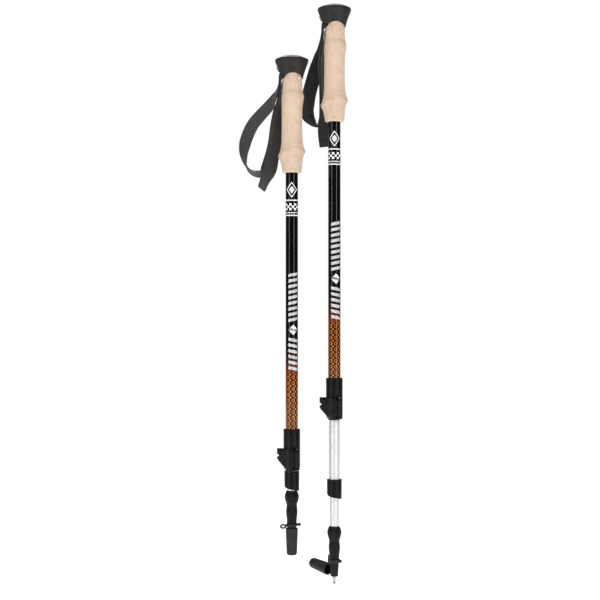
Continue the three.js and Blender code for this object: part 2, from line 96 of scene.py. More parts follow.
# a lever is how far it wraps round in degrees, its reach, and how far its lower edge climbs
UPPER_LOCK = dict(
    top=-334, height=54.6, r=10.8, shelf=38.3, tube=8, inner=7, barrel=3.4,
    lugs=(25, 52), turn=0, lever=(118, 19.3, 13),
)
LOWER_LOCK = dict(
    top=-389, height=26, r=9.7, shelf=14.3, tube=7, inner=6, barrel=2.8,
    lugs=(3, 22), turn=180, lever=(54, 16.5, 0),
)
LEVER_START = -62
LUG_THICK = 3
LEVER_GAP, LEVER_THICK = 0.35, 2.5    # between lever and sleeve, and of the lever's plate
EDGE_INSET = 0.5    # how far the lever's long edges are drawn in
DEGREES = 57.3      # in a radian, near enough for the web beside the lever's barrel
PIN_R = 1.2
SCREW_Y, SCREW_Z, SCREW_R = 12.6, -38, 2.0
NET_WIDE, NET_TALL = TAU * UPPER_R / 7, 7.5    # one cell of the printed net
STRIPES = (-36.0, -55.7)
HEM = 6.5           # the folded end of a strap's tail
SEWN_AT = 62        # how high up the loop its bars and vee are sewn
PLUG = (9.2, 10.3, 122.5)

# heights about the top of the ferrule, turns in degrees
RING_Z = -45
LEFT_RING_TILT = -3.5
RIGHT_RING_TURN = -40
FOOT_MOUTH = -49
HANGING_FOOT = dict(x=-12.2, z=-58.2, tip=95, turn=-53)

CAP_FLARE = [
    (13.9, 115.5), (14.2, 120.5), (15.1, 126), (16.7, 131.6), (18.7, 137.2), (21.1, 143.3),
    (21.8, 145.6), (21.8, 146.9), (21.3, 147.9), (20.5, LIP_Z),
]
GRIP_RIDGES = [
    dict(z=99, front_lift=0, side_lift=3, up=6.5, down=9.5, front=2.3, rear=0.6, point=1.7),
    dict(z=24.3, front_lift=3.2, side_lift=8, up=9, down=6, front=4.2, rear=4.9, point=1.25),
]


# ---- shells: (points in mm, faces) ----
def join(*shells):
    points, faces = [], []
    for more_points, more_faces in shells:
        start = len(points)
        points += list(more_points)
        faces += [[i + start for i in face] for face in more_faces]
    return points, faces


def moved(shell, matrix):
    return [tuple(matrix @ Vector(p)) for p in shell[0]], shell[1]


def shifted(shell, x=0, y=0, z=0):
    return moved(shell, Matrix.Translation((x, y, z)))


def turned_z(shell, angle):
    return moved(shell, spin(angle, "Z"))


def spin(angle, axis):
    """A turn by so many degrees about an axis."""
    return Matrix.Rotation(radians(angle), 4, axis)


def polar(r, a):
    return r * cos(a), r * sin(a)


def rounded(outline, steps=4):
    """An outline of (a, b) or (a, b, radius) points with the marked corners rounded off."""
    made = []
    count = len(outline)
    for i, stop in enumerate(outline):
        here = Vector(stop[:2])
        if len(stop) < 3 or i in (0, count - 1):
            made.append(tuple(here))
            continue
        before, after = Vector(outline[i - 1][:2]) - here, Vector(outline[i + 1][:2]) - here
        a = here + before.normalized() * min(stop[2], before.length * 0.48)
        b = here + after.normalized() * min(stop[2], after.length * 0.48)
        for k in range(steps + 1):
            t = k / steps
            made.append(tuple(a * (1 - t) ** 2 + here * 2 * t * (1 - t) + b * t * t))
    return made


def revolve(outline, segments=72, closed=False, warp=None):
    """A solid of revolution about Z. The outline of (radius, z) runs up the outside."""
    points, rings, faces = [], [], []
    for r, z in outline:
        if r < 1e-6:
            rings.append([len(points)] * segments)
            points.append((0, 0, z))
            continue
        rings.append(list(range(len(points), len(points) + segments)))
        for k in range(segments):
            a = TAU * k / segments
            radius = warp(r, a, z) if warp else r
            points.append((*polar(radius, a), z))
    pairs = list(zip(rings, rings[1:]))
    if closed:
        pairs.append((rings[-1], rings[0]))
    for low, high in pairs:
        for k in range(segments):
            m = (k + 1) % segments
            face = list(dict.fromkeys([low[k], low[m], high[m], high[k]]))
            if len(face) > 2:
                faces.append(face)
    return points, faces


def from_bmesh(bm):
    bm.verts.index_update()
    shell = [tuple(v.co) for v in bm.verts], [[v.index for v in f.verts] for f in bm.faces]
    bm.free()
    return shell


def walls(rings, size, closed=False):
    """Faces over rings of points of the given size. The ends are joined up or capped."""
    faces = []
    for i in range(rings if closed else rings - 1):
        j = (i + 1) % rings
        for k in range(size):
            m = (k + 1) % size
            faces.append([i * size + k, i * size + m, j * size + m, j * size + k])
    if not closed:
        faces.append(list(reversed(range(size))))
        faces.append([(rings - 1) * size + k for k in range(size)])
    return faces


def outward(points, faces):
    """A shell of these points and faces, with the faces turned outwards."""
    bm = bmesh.new()
    made = [bm.verts.new(p) for p in points]
    for face in faces:
        bm.faces.new([made[i] for i in face])
    bmesh.ops.recalc_face_normals(bm, faces=bm.faces)
    return from_bmesh(bm)


def slab(outline, z0, z1, bevel=0.0, segments=2):
    """A flat outline in the XY plane, counter-clockwise, thickened from z0 to z1."""
    bm = bmesh.new()
    low = [bm.verts.new((x, y, z0)) for x, y in outline]
    high = [bm.verts.new((x, y, z1)) for x, y in outline]
    bm.faces.new(list(reversed(low)))
    bm.faces.new(high)
    for i in range(len(outline)):
        j = (i + 1) % len(outline)
        bm.faces.new((low[i], low[j], high[j], high[i]))
    if bevel:
        sharp = [e for e in bm.edges if e.calc_face_angle(0) > 0.6]
        bmesh.ops.bevel(bm, geom=sharp, offset=bevel, segments=segments, profile=0.5,
                        affect="EDGES", clamp_overlap=True)
    bmesh.ops.recalc_face_normals(bm, faces=bm.faces)
    return from_bmesh(bm)


def upright(shell):
    """Turns a slab drawn in XY so that its outline stands in XZ and its depth runs along Y."""
    return moved(shell, Matrix(((1, 0, 0, 0), (0, 0, -1, 0), (0, 1, 0, 0), (0, 0, 0, 1))))


def box(x, y, z, bevel=0.0):
    outline = [(x[0], y[0]), (x[1], y[0]), (x[1], y[1]), (x[0], y[1])]
    return slab(outline, z[0], z[1], bevel)


def mesh_from(shell, scale=1.0):
    mesh = bpy.data.meshes.new("shape")
    mesh.from_pydata([tuple(c * scale for c in p) for p in shell[0]], [], shell[1])
    mesh.validate()
    return mesh


def stand(name, data):
    """A new object in the scene."""
    made = bpy.data.objects.new(name, data)
    bpy.context.scene.collection.objects.link(made)
    return made


def dressed(mesh, name, look, smooth):
    """The mesh with its name and material, smooth except at edges sharper than the angle."""
    mesh.shade_smooth()
    mesh.set_sharp_from_angle(angle=radians(smooth))
    mesh.materials.append(LOOKS[look][0].material)
    mesh.name = name
    return mesh


def carve(shell, cutters, operation="DIFFERENCE"):
    """The shell with each cutter taken from it, or kept in common with it."""
    body = stand("carved", mesh_from(shell))
    tools = []
    for cutter in cutters:
        tool = stand("cutter", mesh_from(cutter))
        modifier = body.modifiers.new("cut", "BOOLEAN")
        modifier.operation, modifier.solver, modifier.object = operation, "EXACT", tool
        tools.append(tool)
    bpy.context.view_layer.update()
    done = body.evaluated_get(bpy.context.evaluated_depsgraph_get()).to_mesh()
    result = [tuple(v.co) for v in done.vertices], [list(p.vertices) for p in done.polygons]
    for thing in [body, *tools]:
        bpy.data.objects.remove(thing)
    return result


# ---- materials ----
class Look:
    """A procedural material. Node sockets and plain values can both be given as inputs."""

    def __init__(self, name, **sockets):
        self.material = bpy.data.materials.new(name)
        self.material.use_nodes = True
        self.tree = self.material.node_tree
        self.shader = self.tree.nodes["Principled BSDF"]
        self.give(**sockets)

    def give(self, **sockets):
        for name, value in sockets.items():
            self.put(self.shader.inputs[name.replace("_", " ")], value)
        return self

    def put(self, socket, value):
        if isinstance(value, bpy.types.NodeSocket):
            self.tree.links.new(value, socket)
        else:
            socket.default_value = value

    def node(self, kind, inputs=(), **settings):
        made = self.tree.nodes.new("ShaderNode" + kind)
        for name, value in settings.items():
            setattr(made, name, value)
        for name, value in dict(inputs).items():
            self.put(made.inputs[name], value)
        return made

    def place(self):
        """The point in the piece's own frame, in millimetres."""
        where = self.node("TexCoord").outputs["Object"]
        return self.node("VectorMath", {0: where, "Scale": 1000.0}, operation="SCALE").outputs[0]

    def parts(self, vector):
        return self.node("SeparateXYZ", {0: vector}).outputs

    def vector(self, x, y, z):
        return self.node("CombineXYZ", {0: x, 1: y, 2: z}).outputs[0]

    def stretch(self, vector, x, y, z):
        return self.node("VectorMath", {0: vector, 1: (x, y, z)}, operation="MULTIPLY").outputs[0]

    def math(self, operation, a, b=0.0, c=0.0):
        return self.node("Math", {0: a, 1: b, 2: c}, operation=operation).outputs[0]

    def times(self, a, b):
        return self.math("MULTIPLY", a, b)

    def minus(self, a, b):
        return self.math("SUBTRACT", a, b)

    def size(self, a):
        return self.math("ABSOLUTE", a)

    def span(self, value, low, high, to_low=0.0, to_high=1.0):
        return self.node("MapRange", {0: value, 1: low, 2: high, 3: to_low, 4: to_high},
                         interpolation_type="SMOOTHSTEP").outputs[0]

    def noise(self, vector, scale, detail=3.0, rough=0.55):
        inputs = {"Vector": vector, "Scale": scale, "Detail": detail, "Roughness": rough}
        return self.node("TexNoise", inputs).outputs[0]

    def cells(self, vector, scale, output="Distance"):
        return self.node("TexVoronoi", {"Vector": vector, "Scale": scale}).outputs[output]

    def mix(self, factor, a, b):
        made = self.node("Mix", data_type="RGBA")
        for socket, value in ((0, factor), (6, a), (7, b)):
            self.put(made.inputs[socket], value)
        return made.outputs[2]

    def over(self, colour, *layers):
        """The colour with each layer (how much, red, green, blue) laid over it in turn."""
        for factor, *tint in layers:
            colour = self.mix(factor, colour, rgb(*tint))
        return colour

    def finish(self, colour, height, depth_mm, **sockets):
        """The look with its colour, any other sockets, and a bump so many millimetres deep."""
        bump = self.node("Bump", {"Height": height, "Distance": depth_mm * MM}).outputs[0]
        return self.give(Base_Color=colour, Normal=bump, **sockets)


def rgb(red, green, blue):
    """A colour given as 0-255 display values, as the linear colour a shader takes."""
    def linear(c):
        c /= 255
        return c / 12.92 if c <= 0.04045 else ((c + 0.055) / 1.055) ** 2.4
    return linear(red), linear(green), linear(blue), 1.0


def scaled(colour, factor, lift=0.0):
    return tuple(min(1.0, c * factor + lift) for c in colour[:3]) + (1.0,)


def cork_look():
    look = Look("cork", Specular_IOR_Level=0.28)
    place = look.place()
    # Painted shade under the shelf, the ridge and near the cap, read from the mesh.
    tone = look.node("Attribute", attribute_name="tone").outputs["Fac"]
    broad = look.noise(look.stretch(place, 1, 1, 0.6), 0.075)
    mottle = look.noise(look.stretch(place, 1, 1, 0.7), 0.24, 6, 0.7)
    shade = look.parts(look.cells(look.stretch(place, 1, 1, 1.15), 0.62, "Color"))[0]
    fine = look.noise(place, 1.6, 5, 0.7)
    specks = look.span(look.noise(look.stretch(place, 0.55, 0.55, 1.5), 0.75, 4, 0.7), 0.6, 0.72)
    pits = look.span(look.noise(look.stretch(place, 1, 1, 2.1), 0.55, 2, 0.5), 0.66, 0.72)
    colour = look.over(
        look.mix(look.span(broad, 0.35, 0.68), rgb(213, 190, 170), rgb(217, 200, 178)),
        (look.span(mottle, 0.48, 0.72, 0, 0.6), 196, 164, 138),
        (look.times(shade, 0.4), 212, 176, 150),
        (look.span(fine, 0.5, 0.8, 0, 0.55), 203, 163, 136),
        (look.times(specks, 0.7), 166, 116, 92),
        (look.times(pits, 0.75), 126, 84, 62),
        # Painted shade: browner where the mesh attribute marks shade.
        (look.times(tone, 0.6), 172, 140, 116),
    )
    height = look.math("MULTIPLY_ADD", look.cells(place, 0.62), 0.35, look.times(fine, 0.5))
    height = look.minus(height, look.times(pits, 1.3))
    rough = look.span(fine, 0.2, 0.8, 0.7, 0.92)
    return look.finish(colour, height, 0.42, Roughness=rough)


def moulded_look(name, colour, roughness, grain, depth, worn, specular):
    """Moulded plastic or rubber: fine grain, faint cloudiness and scuffs."""
    look = Look(name, Specular_IOR_Level=specular)
    place = look.place()
    cloud = look.noise(place, 0.09)
    fine = look.noise(place, grain, 3, 0.6)
    scuffs = look.span(look.noise(look.stretch(place, 1, 1, 0.25), 0.5, 4, 0.75), 0.62, 0.75)
    light = scaled(rgb(*colour), 1.35, 0.004)
    shade = look.mix(look.span(cloud, 0.3, 0.7), scaled(rgb(*colour), 0.78), light)
    shade = look.mix(look.times(scuffs, 0.16), shade, rgb(*worn) if worn else light)
    rough = look.span(cloud, 0.25, 0.75, roughness - 0.07, roughness + 0.07)
    rough = look.math("MULTIPLY_ADD", scuffs, 0.08, rough)
    return look.finish(shade, fine, depth, Roughness=rough)


def webbing_look():
    """Ribbed nylon webbing. The UVs are distances across and along the band, in metres."""
    look = Look("webbing", Sheen_Weight=0.25, Sheen_Roughness=0.45, Specular_IOR_Level=0.3)
    flat = look.node("UVMap", uv_map="band").outputs[0]
    across, along, _ = look.parts(look.stretch(flat, 1000, 1000, 1))
    column = look.math("DIVIDE", across, 1.15)
    odd = look.math("MODULO", look.math("FLOOR", column), 2.0)
    phase = look.math("MULTIPLY_ADD", odd, 0.5, look.math("DIVIDE", along, 1.5))
    rib = look.math("MULTIPLY_ADD", look.math("SINE", look.times(phase, TAU)), 0.5, 0.5)
    crown = look.math("SINE", look.times(look.math("FRACT", column), pi))
    weave = look.times(rib, crown)
    fibre = look.noise(look.vector(across, look.times(along, 0.2), 0.0), 3.5, 3, 0.7)
    blotch = look.noise(look.vector(across, along, 0.0), 0.07)
    edge = look.span(look.size(across), 7.6, 8.6)
    # The weave's colour is darker in the grooves and lighter on the rib crowns: painted shade and a painted
    # highlight.
    colour = look.over(
        look.mix(weave, rgb(34, 33, 33), rgb(74, 72, 71)),
        (look.span(fibre, 0.45, 0.8, 0, 0.5), 96, 93, 91),
        (look.span(blotch, 0.35, 0.7, 0, 0.3), 50, 47, 46),
        (look.times(edge, 0.5), 36, 35, 35),
    )
    height = look.math("MULTIPLY_ADD", fibre, 0.25, weave)
    rough = look.span(weave, 0, 1, 0.92, 0.74)
    return look.finish(colour, height, 0.22, Roughness=rough)


def thread_look():
    look = Look("thread", Roughness=0.7, Sheen_Weight=0.2)
    twist = look.noise(look.place(), 3.0)
    colour = look.mix(twist, rgb(58, 55, 54), rgb(98, 94, 92))
    return look.finish(colour, twist, 0.05)


def printed_tube_look():
    """Gloss tube: black, with a printed fade into a brown and orange net of rings."""
    look = Look("printed_tube", Coat_Weight=0.22, Coat_Roughness=0.05, Specular_IOR_Level=0.24)
    place = look.place()
    x, y, z = look.parts(place)
    round_tube = look.times(look.math("ARCTAN2", y, x), UPPER_R / NET_WIDE)
    cells = (look.math("FRACT", round_tube), look.math("FRACT", look.math("DIVIDE", z, NET_TALL)))
    ax, ay = (look.times(look.size(look.minus(cell, 0.5)), pitch)
              for cell, pitch in zip(cells, (NET_WIDE, NET_TALL)))
    bx, by = look.minus(NET_WIDE / 2, ax), look.minus(NET_TALL / 2, ay)

    def length(a, b):
        return look.math("SQRT", look.math("ADD", look.times(a, a), look.times(b, b)))

    def line(value, centre, half, soft):
        return look.span(look.size(look.minus(value, centre)), half - soft, half + soft, 1, 0)

    ring_d = length(ax, ay)
    ring = line(ring_d, 1.75, 0.4, 0.25)
    dot = look.span(length(bx, by), 0.5, 1.0, 1, 0)
    diamond = line(look.math("ADD", bx, by), 2.2, 0.5, 0.3)
    skew = look.minus(look.times(ax, NET_TALL / NET_WIDE), ay)
    link = look.times(line(skew, 0.0, 0.45, 0.3), look.span(ring_d, 2.0, 2.4))
    heart = look.span(ring_d, 0.5, 0.9, 1, 0)
    wear = look.noise(look.stretch(place, 1, 1, 0.3), 0.35, 4, 0.7)
    net = look.over(
        look.mix(wear, rgb(50, 16, 0), rgb(76, 30, 0)),
        (look.times(link, 0.7), 158, 78, 0),
        (look.times(diamond, 0.9), 22, 5, 0),
        (look.times(ring, 0.85), 208, 112, 8),
        (look.times(heart, 0.6), 60, 18, 0),
        (dot, 244, 160, 36),
    )
    brown = look.mix(look.span(z, -268, -240), rgb(112, 50, 24), rgb(48, 18, 11))
    faint = look.over(brown, (look.times(look.math("MAXIMUM", ring, dot), 0.28), 170, 90, 50))
    colour = look.over(
        look.mix(look.span(z, -266, -258), net, faint),
        (look.span(z, -262, -222), 6, 6, 7),
        *((line(z, stripe, 0.75, 0.1), 244, 244, 244) for stripe in STRIPES),
    )
    rough = look.span(wear, 0.3, 0.8, 0.09, 0.18)
    return look.finish(colour, wear, 0.012, Roughness=rough)


def print_look():
    look = Look("white_print", Coat_Weight=0.3, Coat_Roughness=0.08)
    chips = look.noise(look.place(), 0.9, 4, 0.75)
    colour = look.mix(look.span(chips, 0.68, 0.76, 0, 0.4), rgb(252, 252, 252), rgb(200, 200, 200))
    rough = look.span(chips, 0.3, 0.8, 0.25, 0.42)
    return look.finish(colour, chips, 0.01, Roughness=rough)


def anodised_look():
    """Satin silver tube with drawn lines along it."""
    look = Look("anodised_tube", Metallic=0.45, Anisotropic=0.3)
    place = look.place()
    drawn = look.noise(look.stretch(place, 1, 1, 0.012), 2.2, 3, 0.6)
    cloud = look.noise(look.stretch(place, 1, 1, 0.2), 0.05, 3)
    colour = look.mix(drawn, rgb(197, 196, 198), rgb(211, 210, 211))
    colour = look.over(colour, (look.span(cloud, 0.4, 0.75, 0, 0.25), 190, 190, 193))
    rough = look.span(drawn, 0.2, 0.8, 0.34, 0.46)
    return look.finish(colour, drawn, 0.012, Roughness=rough)


def steel_look(name, colour, roughness):
    look = Look(name, Metallic=1.0)
    turned = look.noise(look.stretch(look.place(), 0.3, 0.3, 3), 1.5)
    colour = look.mix(turned, rgb(*colour), scaled(rgb(*colour), 1.3))
    rough = look.span(turned, 0.2, 0.8, roughness - 0.08, roughness + 0.1)
    return look.finish(colour, turned, 0.02, Roughness=rough)


MOULDED = (
    # look, material, slot, colour, roughness, grain, bump depth, worn colour, specular
    ("cap", "cap_rubber", "moulded_cap", (34, 31, 29), 0.52, 1.4, 0.06, (76, 71, 69), 0.22),
    # The cap top's light grey is a painted reflection: it stands in for top light shining on a dark glossy
    # dome.
    ("dome", "cap_top", "cap_top", (176, 175, 174), 0.3, 2.0, 0.02, None, 0.4),
    ("wedge", "wedge_plastic", "lock_plastic", (32, 29, 28), 0.42, 1.4, 0.05, None, 0.3),
    ("lock", "lock_plastic", "lock_plastic", (10, 9, 10), 0.4, 1.8, 0.05, (46, 44, 44), 0.12),
    ("lever", "lever_plastic", "lock_plastic", (15, 14, 15), 0.42, 1.6, 0.06, (54, 52, 52), 0.14),
    ("guide", "guide_plastic", "guide_plastic", (200, 197, 188), 0.5, 1.4, 0.05, None, 0.5),
    ("ferrule", "ferrule_plastic", "ferrule_plastic", (14, 12, 13), 0.44, 1.6, 0.06, (52, 50, 51), 0.14),
    ("rubber", "rubber", "rubber", (36, 34, 35), 0.62, 2.2, 0.09, (74, 71, 71), 0.24),
)
STEELS = (
    ("steel", "steel", (150, 150, 152), 0.32), ("holder", "tip_holder", (168, 165, 160), 0.4),
    ("carbide", "carbide", (70, 70, 72), 0.4),
)
LOOKS = {    # the material, and its slot
    "cork": (cork_look(), "cork"),
    "webbing": (webbing_look(), "webbing"),
    "thread": (thread_look(), "webbing"),
    "tube": (printed_tube_look(), "printed_gloss_tube"),
    "print": (print_look(), "printed_gloss_tube"),
    "anodised": (anodised_look(), "anodised_tube"),
}
for key, material, slot, *settings in MOULDED:
    LOOKS[key] = (moulded_look(material, *settings), slot)
for key, *settings in STEELS:
    LOOKS[key] = (steel_look(*settings), "steel")

MESHES = {}


def piece(name, kind, make, look, at, body, nodes=(), smooth=40, place=None):
    """An object of a mesh made once for both poles, standing at the given point."""
    if kind not in MESHES:
        MESHES[kind] = dressed(mesh_from(make(), MM), kind, look, smooth)
    made = stand(f"{name}_look", MESHES[kind])
    made.matrix_world = Matrix.Translation(at) @ (place or Matrix.Identity(4))
    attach(made, body)
    if nodes:
        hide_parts(*nodes)
    return made


# ---- grip ----
def ridge_height(ridge, forward, side):
    return ridge["z"] + ridge["front_lift"] * forward + ridge["side_lift"] * side


def grip_radius(angle, z):
    forward, side = cos(angle), sin(angle) ** 2
    radius = 13.4 + 0.2 * forward - 0.9 * side - 1.2 * max(0, 1 - z / 16) ** 2
    for ridge in GRIP_RIDGES:
        offset = z - ridge["z"] - ridge["front_lift"] * forward - ridge["side_lift"] * side
        height = ridge["rear"] + (ridge["front"] - ridge["rear"]) * (1 + forward) / 2
        spread = ridge["up"] if offset > 0 else ridge["down"]
        radius += height * (1 - 0.3 * side) * exp(-(abs(offset / spread) ** ridge["point"]))
    return radius


def arch_height(x):
    inside = ARCH_R ** 2 - (x - ARCH_X) ** 2
    return max(CAP_BOTTOM, ARCH_Z + sqrt(inside)) if inside > 0 else CAP_BOTTOM


def grip_top(angle):
    z = 125.0
    for _ in range(6):
        z = arch_height(grip_radius(angle, z) * cos(angle))
    y = grip_radius(angle, z) * sin(angle)
    if cos(angle) < 0 and abs(y) < SLOT_HALF:
        z = min(z, SLOT_BOTTOM)
    return z - 0.15


def cork_grip():
    columns, rows, bore = 144, 130, UPPER_R + GAP
    points, faces = [], []
    edge = [(0.0, 1.1), (0.35, 0.45), (1.0, 0.1)]
    for k in range(columns):
        angle = TAU * k / columns
        top = grip_top(angle)
        column = [(bore, 0.0)] + [(grip_radius(angle, z) - inset, z) for z, inset in edge]
        for i in range(rows + 1):
            z = 1.8 + (top - 1.8) * i / rows
            column.append((grip_radius(angle, z), z))
        column.append((bore, min(top, arch_height(bore * cos(angle)) - 0.15)))
        points += [(*polar(r, angle), z) for r, z in column]
        size = len(column)
    for k in range(columns):
        m = (k + 1) % columns
        for i in range(size):
            j = (i + 1) % size
            faces.append([k * size + i, m * size + i, m * size + j, k * size + j])
    return points, faces


def paint_cork_shade(mesh):
    """Marks where shade is painted into the cork as a browner tone: below the shelf and the ridge, in a
    crease just under the shelf, and a little at the cap.
    """
    tone = mesh.attributes.new("tone", "FLOAT", "POINT")
    for i, vertex in enumerate(mesh.vertices):
        x, y, z = (c / MM for c in vertex.co)
        angle = atan2(y, x)
        forward, side = cos(angle), sin(angle) ** 2
        shelf = ridge_height(GRIP_RIDGES[1], forward, side)
        below = 1 / (1 + exp((z - shelf) / 0.3))
        below *= 0.4 + 0.6 * exp(-max(0, shelf - z) / 6)
        crease = exp(-((z - shelf + 0.5) / 0.8) ** 2)
        under = ridge_height(GRIP_RIDGES[0], forward, side) + 6 - z
        ridge = smooth_step(under / 1.2) * exp(-max(0, under - 1) / 4.5) * (0.75 + 0.25 * forward)
        top = 0.25 * exp(-((z - 122) / 5) ** 2)
        tone.data[i].value = max(0.0, min(1.0, 0.5 * below + 0.9 * crease + 0.9 * ridge + top))


def cap():
    flare = [(0, CAP_BOTTOM)] + CAP_FLARE + [
        (19.4, LIP_Z - 0.05), (18.5, LIP_Z - 0.6), (18.3, LIP_Z - 1.3), (18.3, LIP_Z - 2.8),
        (0, LIP_Z - 2.8)]
    under = [(-40, -5), (40, -5), (40, CAP_BOTTOM), (ARCH_X + ARCH_FOOT, CAP_BOTTOM)]
    first = asin((CAP_BOTTOM - ARCH_Z) / ARCH_R)
    angles = [first + (pi - 2 * first) * k / 40 for k in range(41)]
    under += [(ARCH_X + ARCH_R * cos(a), ARCH_Z + ARCH_R * sin(a)) for a in angles]
    cork_space = upright(slab(under + [(-40, CAP_BOTTOM)], -40, 40))
    slot = box((-30, SLOT_X), (-SLOT_HALF, SLOT_HALF), (CAP_BOTTOM - 2, SLOT_TOP))
    half = WEDGE_HALF + GAP
    pocket = box((-30, WEDGE_X + GAP), (-half, half), (SLOT_TOP - 1, WEDGE_TOP + GAP))
    shoulder = CAP_BOTTOM - 0.1
    spigot = revolve([(0, 100), (7.1, 100), (7.1, shoulder), (7.9, shoulder), (7.9, 133), (0, 133)], 48)
    return join(carve(revolve(flare, 128), [cork_space, slot, pocket]), spigot)


def cap_dome():
    seat, edge = LIP_Z - 2.6, LIP_Z - 0.1
    outline = [(0, seat), (DOME_R - 0.3, seat), (DOME_R, seat + 0.4), (DOME_R, edge - 0.1)]
    outline += [(DOME_R * cos(a), edge + DOME_RISE * sin(a)) for a in arc(0, 90, 14)[1:]]
    outline[-1] = (0, edge + DOME_RISE)
    return revolve(outline, 96)


def strap_wedge():
    """The clamp that holds the strap, flush with the flare, with ribs to push it by."""
    body = [(0, CAP_BOTTOM)] + CAP_FLARE + [(0, LIP_Z)]
    block = box((-30, WEDGE_X), (-WEDGE_HALF, WEDGE_HALF), (WEDGE_BOTTOM, WEDGE_TOP), 0.3)
    ribs = []
    for z in (133.4, 135.3, 137.2):
        r = 17.2 + (z - 132) * 0.41
        outline = [polar(r, a) for a in arc(160, 200, 12)]
        outline += [polar(r + 0.45, a) for a in arc(200, 160, 12)]
        ribs.append(slab(outline[::-1], z - 0.4, z + 0.4, 0.12, 1))
    return join(carve(revolve(body, 128), [block], "INTERSECT"), *ribs)


def smooth_step(t):
    t = max(0.0, min(1.0, t))
    return t * t * (3 - 2 * t)


def arc(start, end, steps):
    return [radians(start + (end - start) * k / steps) for k in range(steps + 1)]


def strap_anchor():
    """The folded end of the webbing, gripped inside the cap."""
    half = STRAP_WIDTH / 2
    layers = []
    for z in (124.6, 126.7, 128.8):
        outline = rounded([(-13, z - 0.6), (-6, z - 0.6, 0.5), (-6, z + 0.6, 0.5), (-13, z + 0.6)])
        layers.append(upright(slab(outline, -half, half, 0.2)))
    return join(*layers)


def grip_plug():
    outline = rounded([(0, -2), (2.0, -2, 0.2), (2.0, 1.9, 0.5), (0.9, 2.1, 0.3), (0, 1.7)])
    return revolve(outline, 40)


# ---- straps ----
STRAND_TOPS = {"outer": (129.3, -16.3), "inner": (127.2, -15.2), "tail": (125.1, -14.1)}
LEFT_LOOP = [
    (-19.4, -1, 112, 86), (-21.8, -4, 100.5, 78), (-25, -9, 92.5, 60), (-29.2, -11, 86, 48),
    (-38.8, -10, 75.6, 42), (-50.2, -7, 62.5, 38), (-56.5, -4, 50.5, 36), (-61, -1, 37, 40),
    (-62.1, 2.5, 22.6, 62), (-58.6, 7, 9.4, 86), (-51, 13, 2.6, 108), (-41.5, 18, 1.2, 118),
    (-33.4, 19.5, 8, 142), (-28, 18, 20, 162), (-24.6, 16, 32, 162), (-22.4, 13.6, 43, 158),
    (-20.4, 11.8, 62, 150), (-18.6, 10.6, 84, 124), (-17.6, 8.8, 93, 108), (-17.2, 5.2, 102, 98),
    (-16.8, 0.8, 112, 91),
]
LEFT_TAIL = [
    (-15, 0, 117, 90), (-14.7, 4.4, 102, 80), (-15.1, 8, 93, 68), (-16.5, 9, 84, 54),
    (-19.2, 9.2, 62, 28), (-21.6, 10.6, 43, 22), (-23.6, 12.6, 32, 18), (-26.2, 13.4, 20, 14),
    (-28.8, 11, 6, 14), (-34.6, 8, -7, 44), (-39.7, 6, -20.7, 63),
]
RIGHT_LOOP = [
    (-19, 1.2, 113, 86), (-19.4, 6, 102, 78), (-20.2, 13, 92, 56), (-21.8, 18.5, 80, 28),
    (-24.4, 21, 70, 12), (-28.4, 22, 56, 6), (-32.2, 22.8, 42, 6), (-34.6, 23.4, 28, 6),
    (-35.6, 24, 18, 10), (-33.6, 24.6, 10.5, 24), (-30, 25, 5.2, 44), (-25.6, 25.4, 0, 64),
    (-21.8, 25.2, -2.2, 78), (-19.4, 23, 6, 88), (-17.4, 18.6, 24, 98), (-17, 12.5, 48, 105),
    (-18, 7.5, 74, 112), (-17.6, 2.6, 100, 96), (-16.8, 0, 114, 90),
]
RIGHT_TAIL = [
    (-15, 0.1, 114, 90), (-14.9, 3, 100, 84), (-15.2, 9.5, 76, 66), (-14.8, 12.5, 50, 70),
    (-13.6, 17.6, 25, 68), (-12.2, 19.4, 8, 50), (-12.8, 18, -8, 24), (-10, 15.6, -30.5, 8),
]


def lead_in(strand):
    """The strand's way out of the slot in the cap, from inside to outside."""
    z, x = STRAND_TOPS[strand]
    return [(-7, 0, z, 90), (-11, 0, z, 90), (x + 1.6, 0, z - 0.6, 90), (x + 0.2, 0, z - 2.3, 90),
            (x, 0, z - 5.5, 90)]


def tucked(stop):
    """Near the cap the strands lie closer to the grip than lower down."""
    x, y, z, roll = stop
    return (x - 0.4 * (x + 13) * smooth_step((z - 94) / 18), y, z, roll)


def smooth_line(stops, spacing):
    """Points with roll along a smooth curve through the stops, about evenly spaced."""
    def beyond(a, b):
        return tuple(2 * p - q for p, q in zip(a, b))
    line = []
    stops = [Vector(s) for s in [beyond(stops[0], stops[1]), *stops, beyond(stops[-1], stops[-2])]]
    for i in range(1, len(stops) - 2):
        p0, p1, p2, p3 = stops[i - 1:i + 3]
        d0, d1, d2 = ((b.xyz - a.xyz).length ** 0.5 for a, b in ((p0, p1), (p1, p2), (p2, p3)))
        t1 = ((p1 - p0) / d0 - (p2 - p0) / (d0 + d1) + (p2 - p1) / d1) * d1
        t2 = ((p2 - p1) / d1 - (p3 - p1) / (d1 + d2) + (p3 - p2) / d2) * d1
        count = max(2, round((p2.xyz - p1.xyz).length / spacing))
        for k in range(count):
            t = k / count
            line.append(p1 * (2 * t ** 3 - 3 * t * t + 1) + t1 * (t ** 3 - 2 * t * t + t)
                        + p2 * (3 * t * t - 2 * t ** 3) + t2 * (t ** 3 - t * t))
    line.append(stops[-2])
    return line


def band_frames(line):
    """(centre, across, normal, distance) at each point of a band's centreline."""
    frames, distance = [], 0.0
    for i, stop in enumerate(line):
        before, after = line[max(0, i - 1)].xyz, line[min(len(line) - 1, i + 1)].xyz
        along = (after - before).normalized()
        sideways = along.cross(Vector((0, 1, 0))).normalized()
        depth = sideways.cross(along)
        roll = radians(stop[3])
        across = sideways * cos(roll) + depth * sin(roll)
        if i:
            distance += (stop.xyz - line[i - 1].xyz).length
        frames.append((stop.xyz.copy(), across, along.cross(across), distance))
    return frames


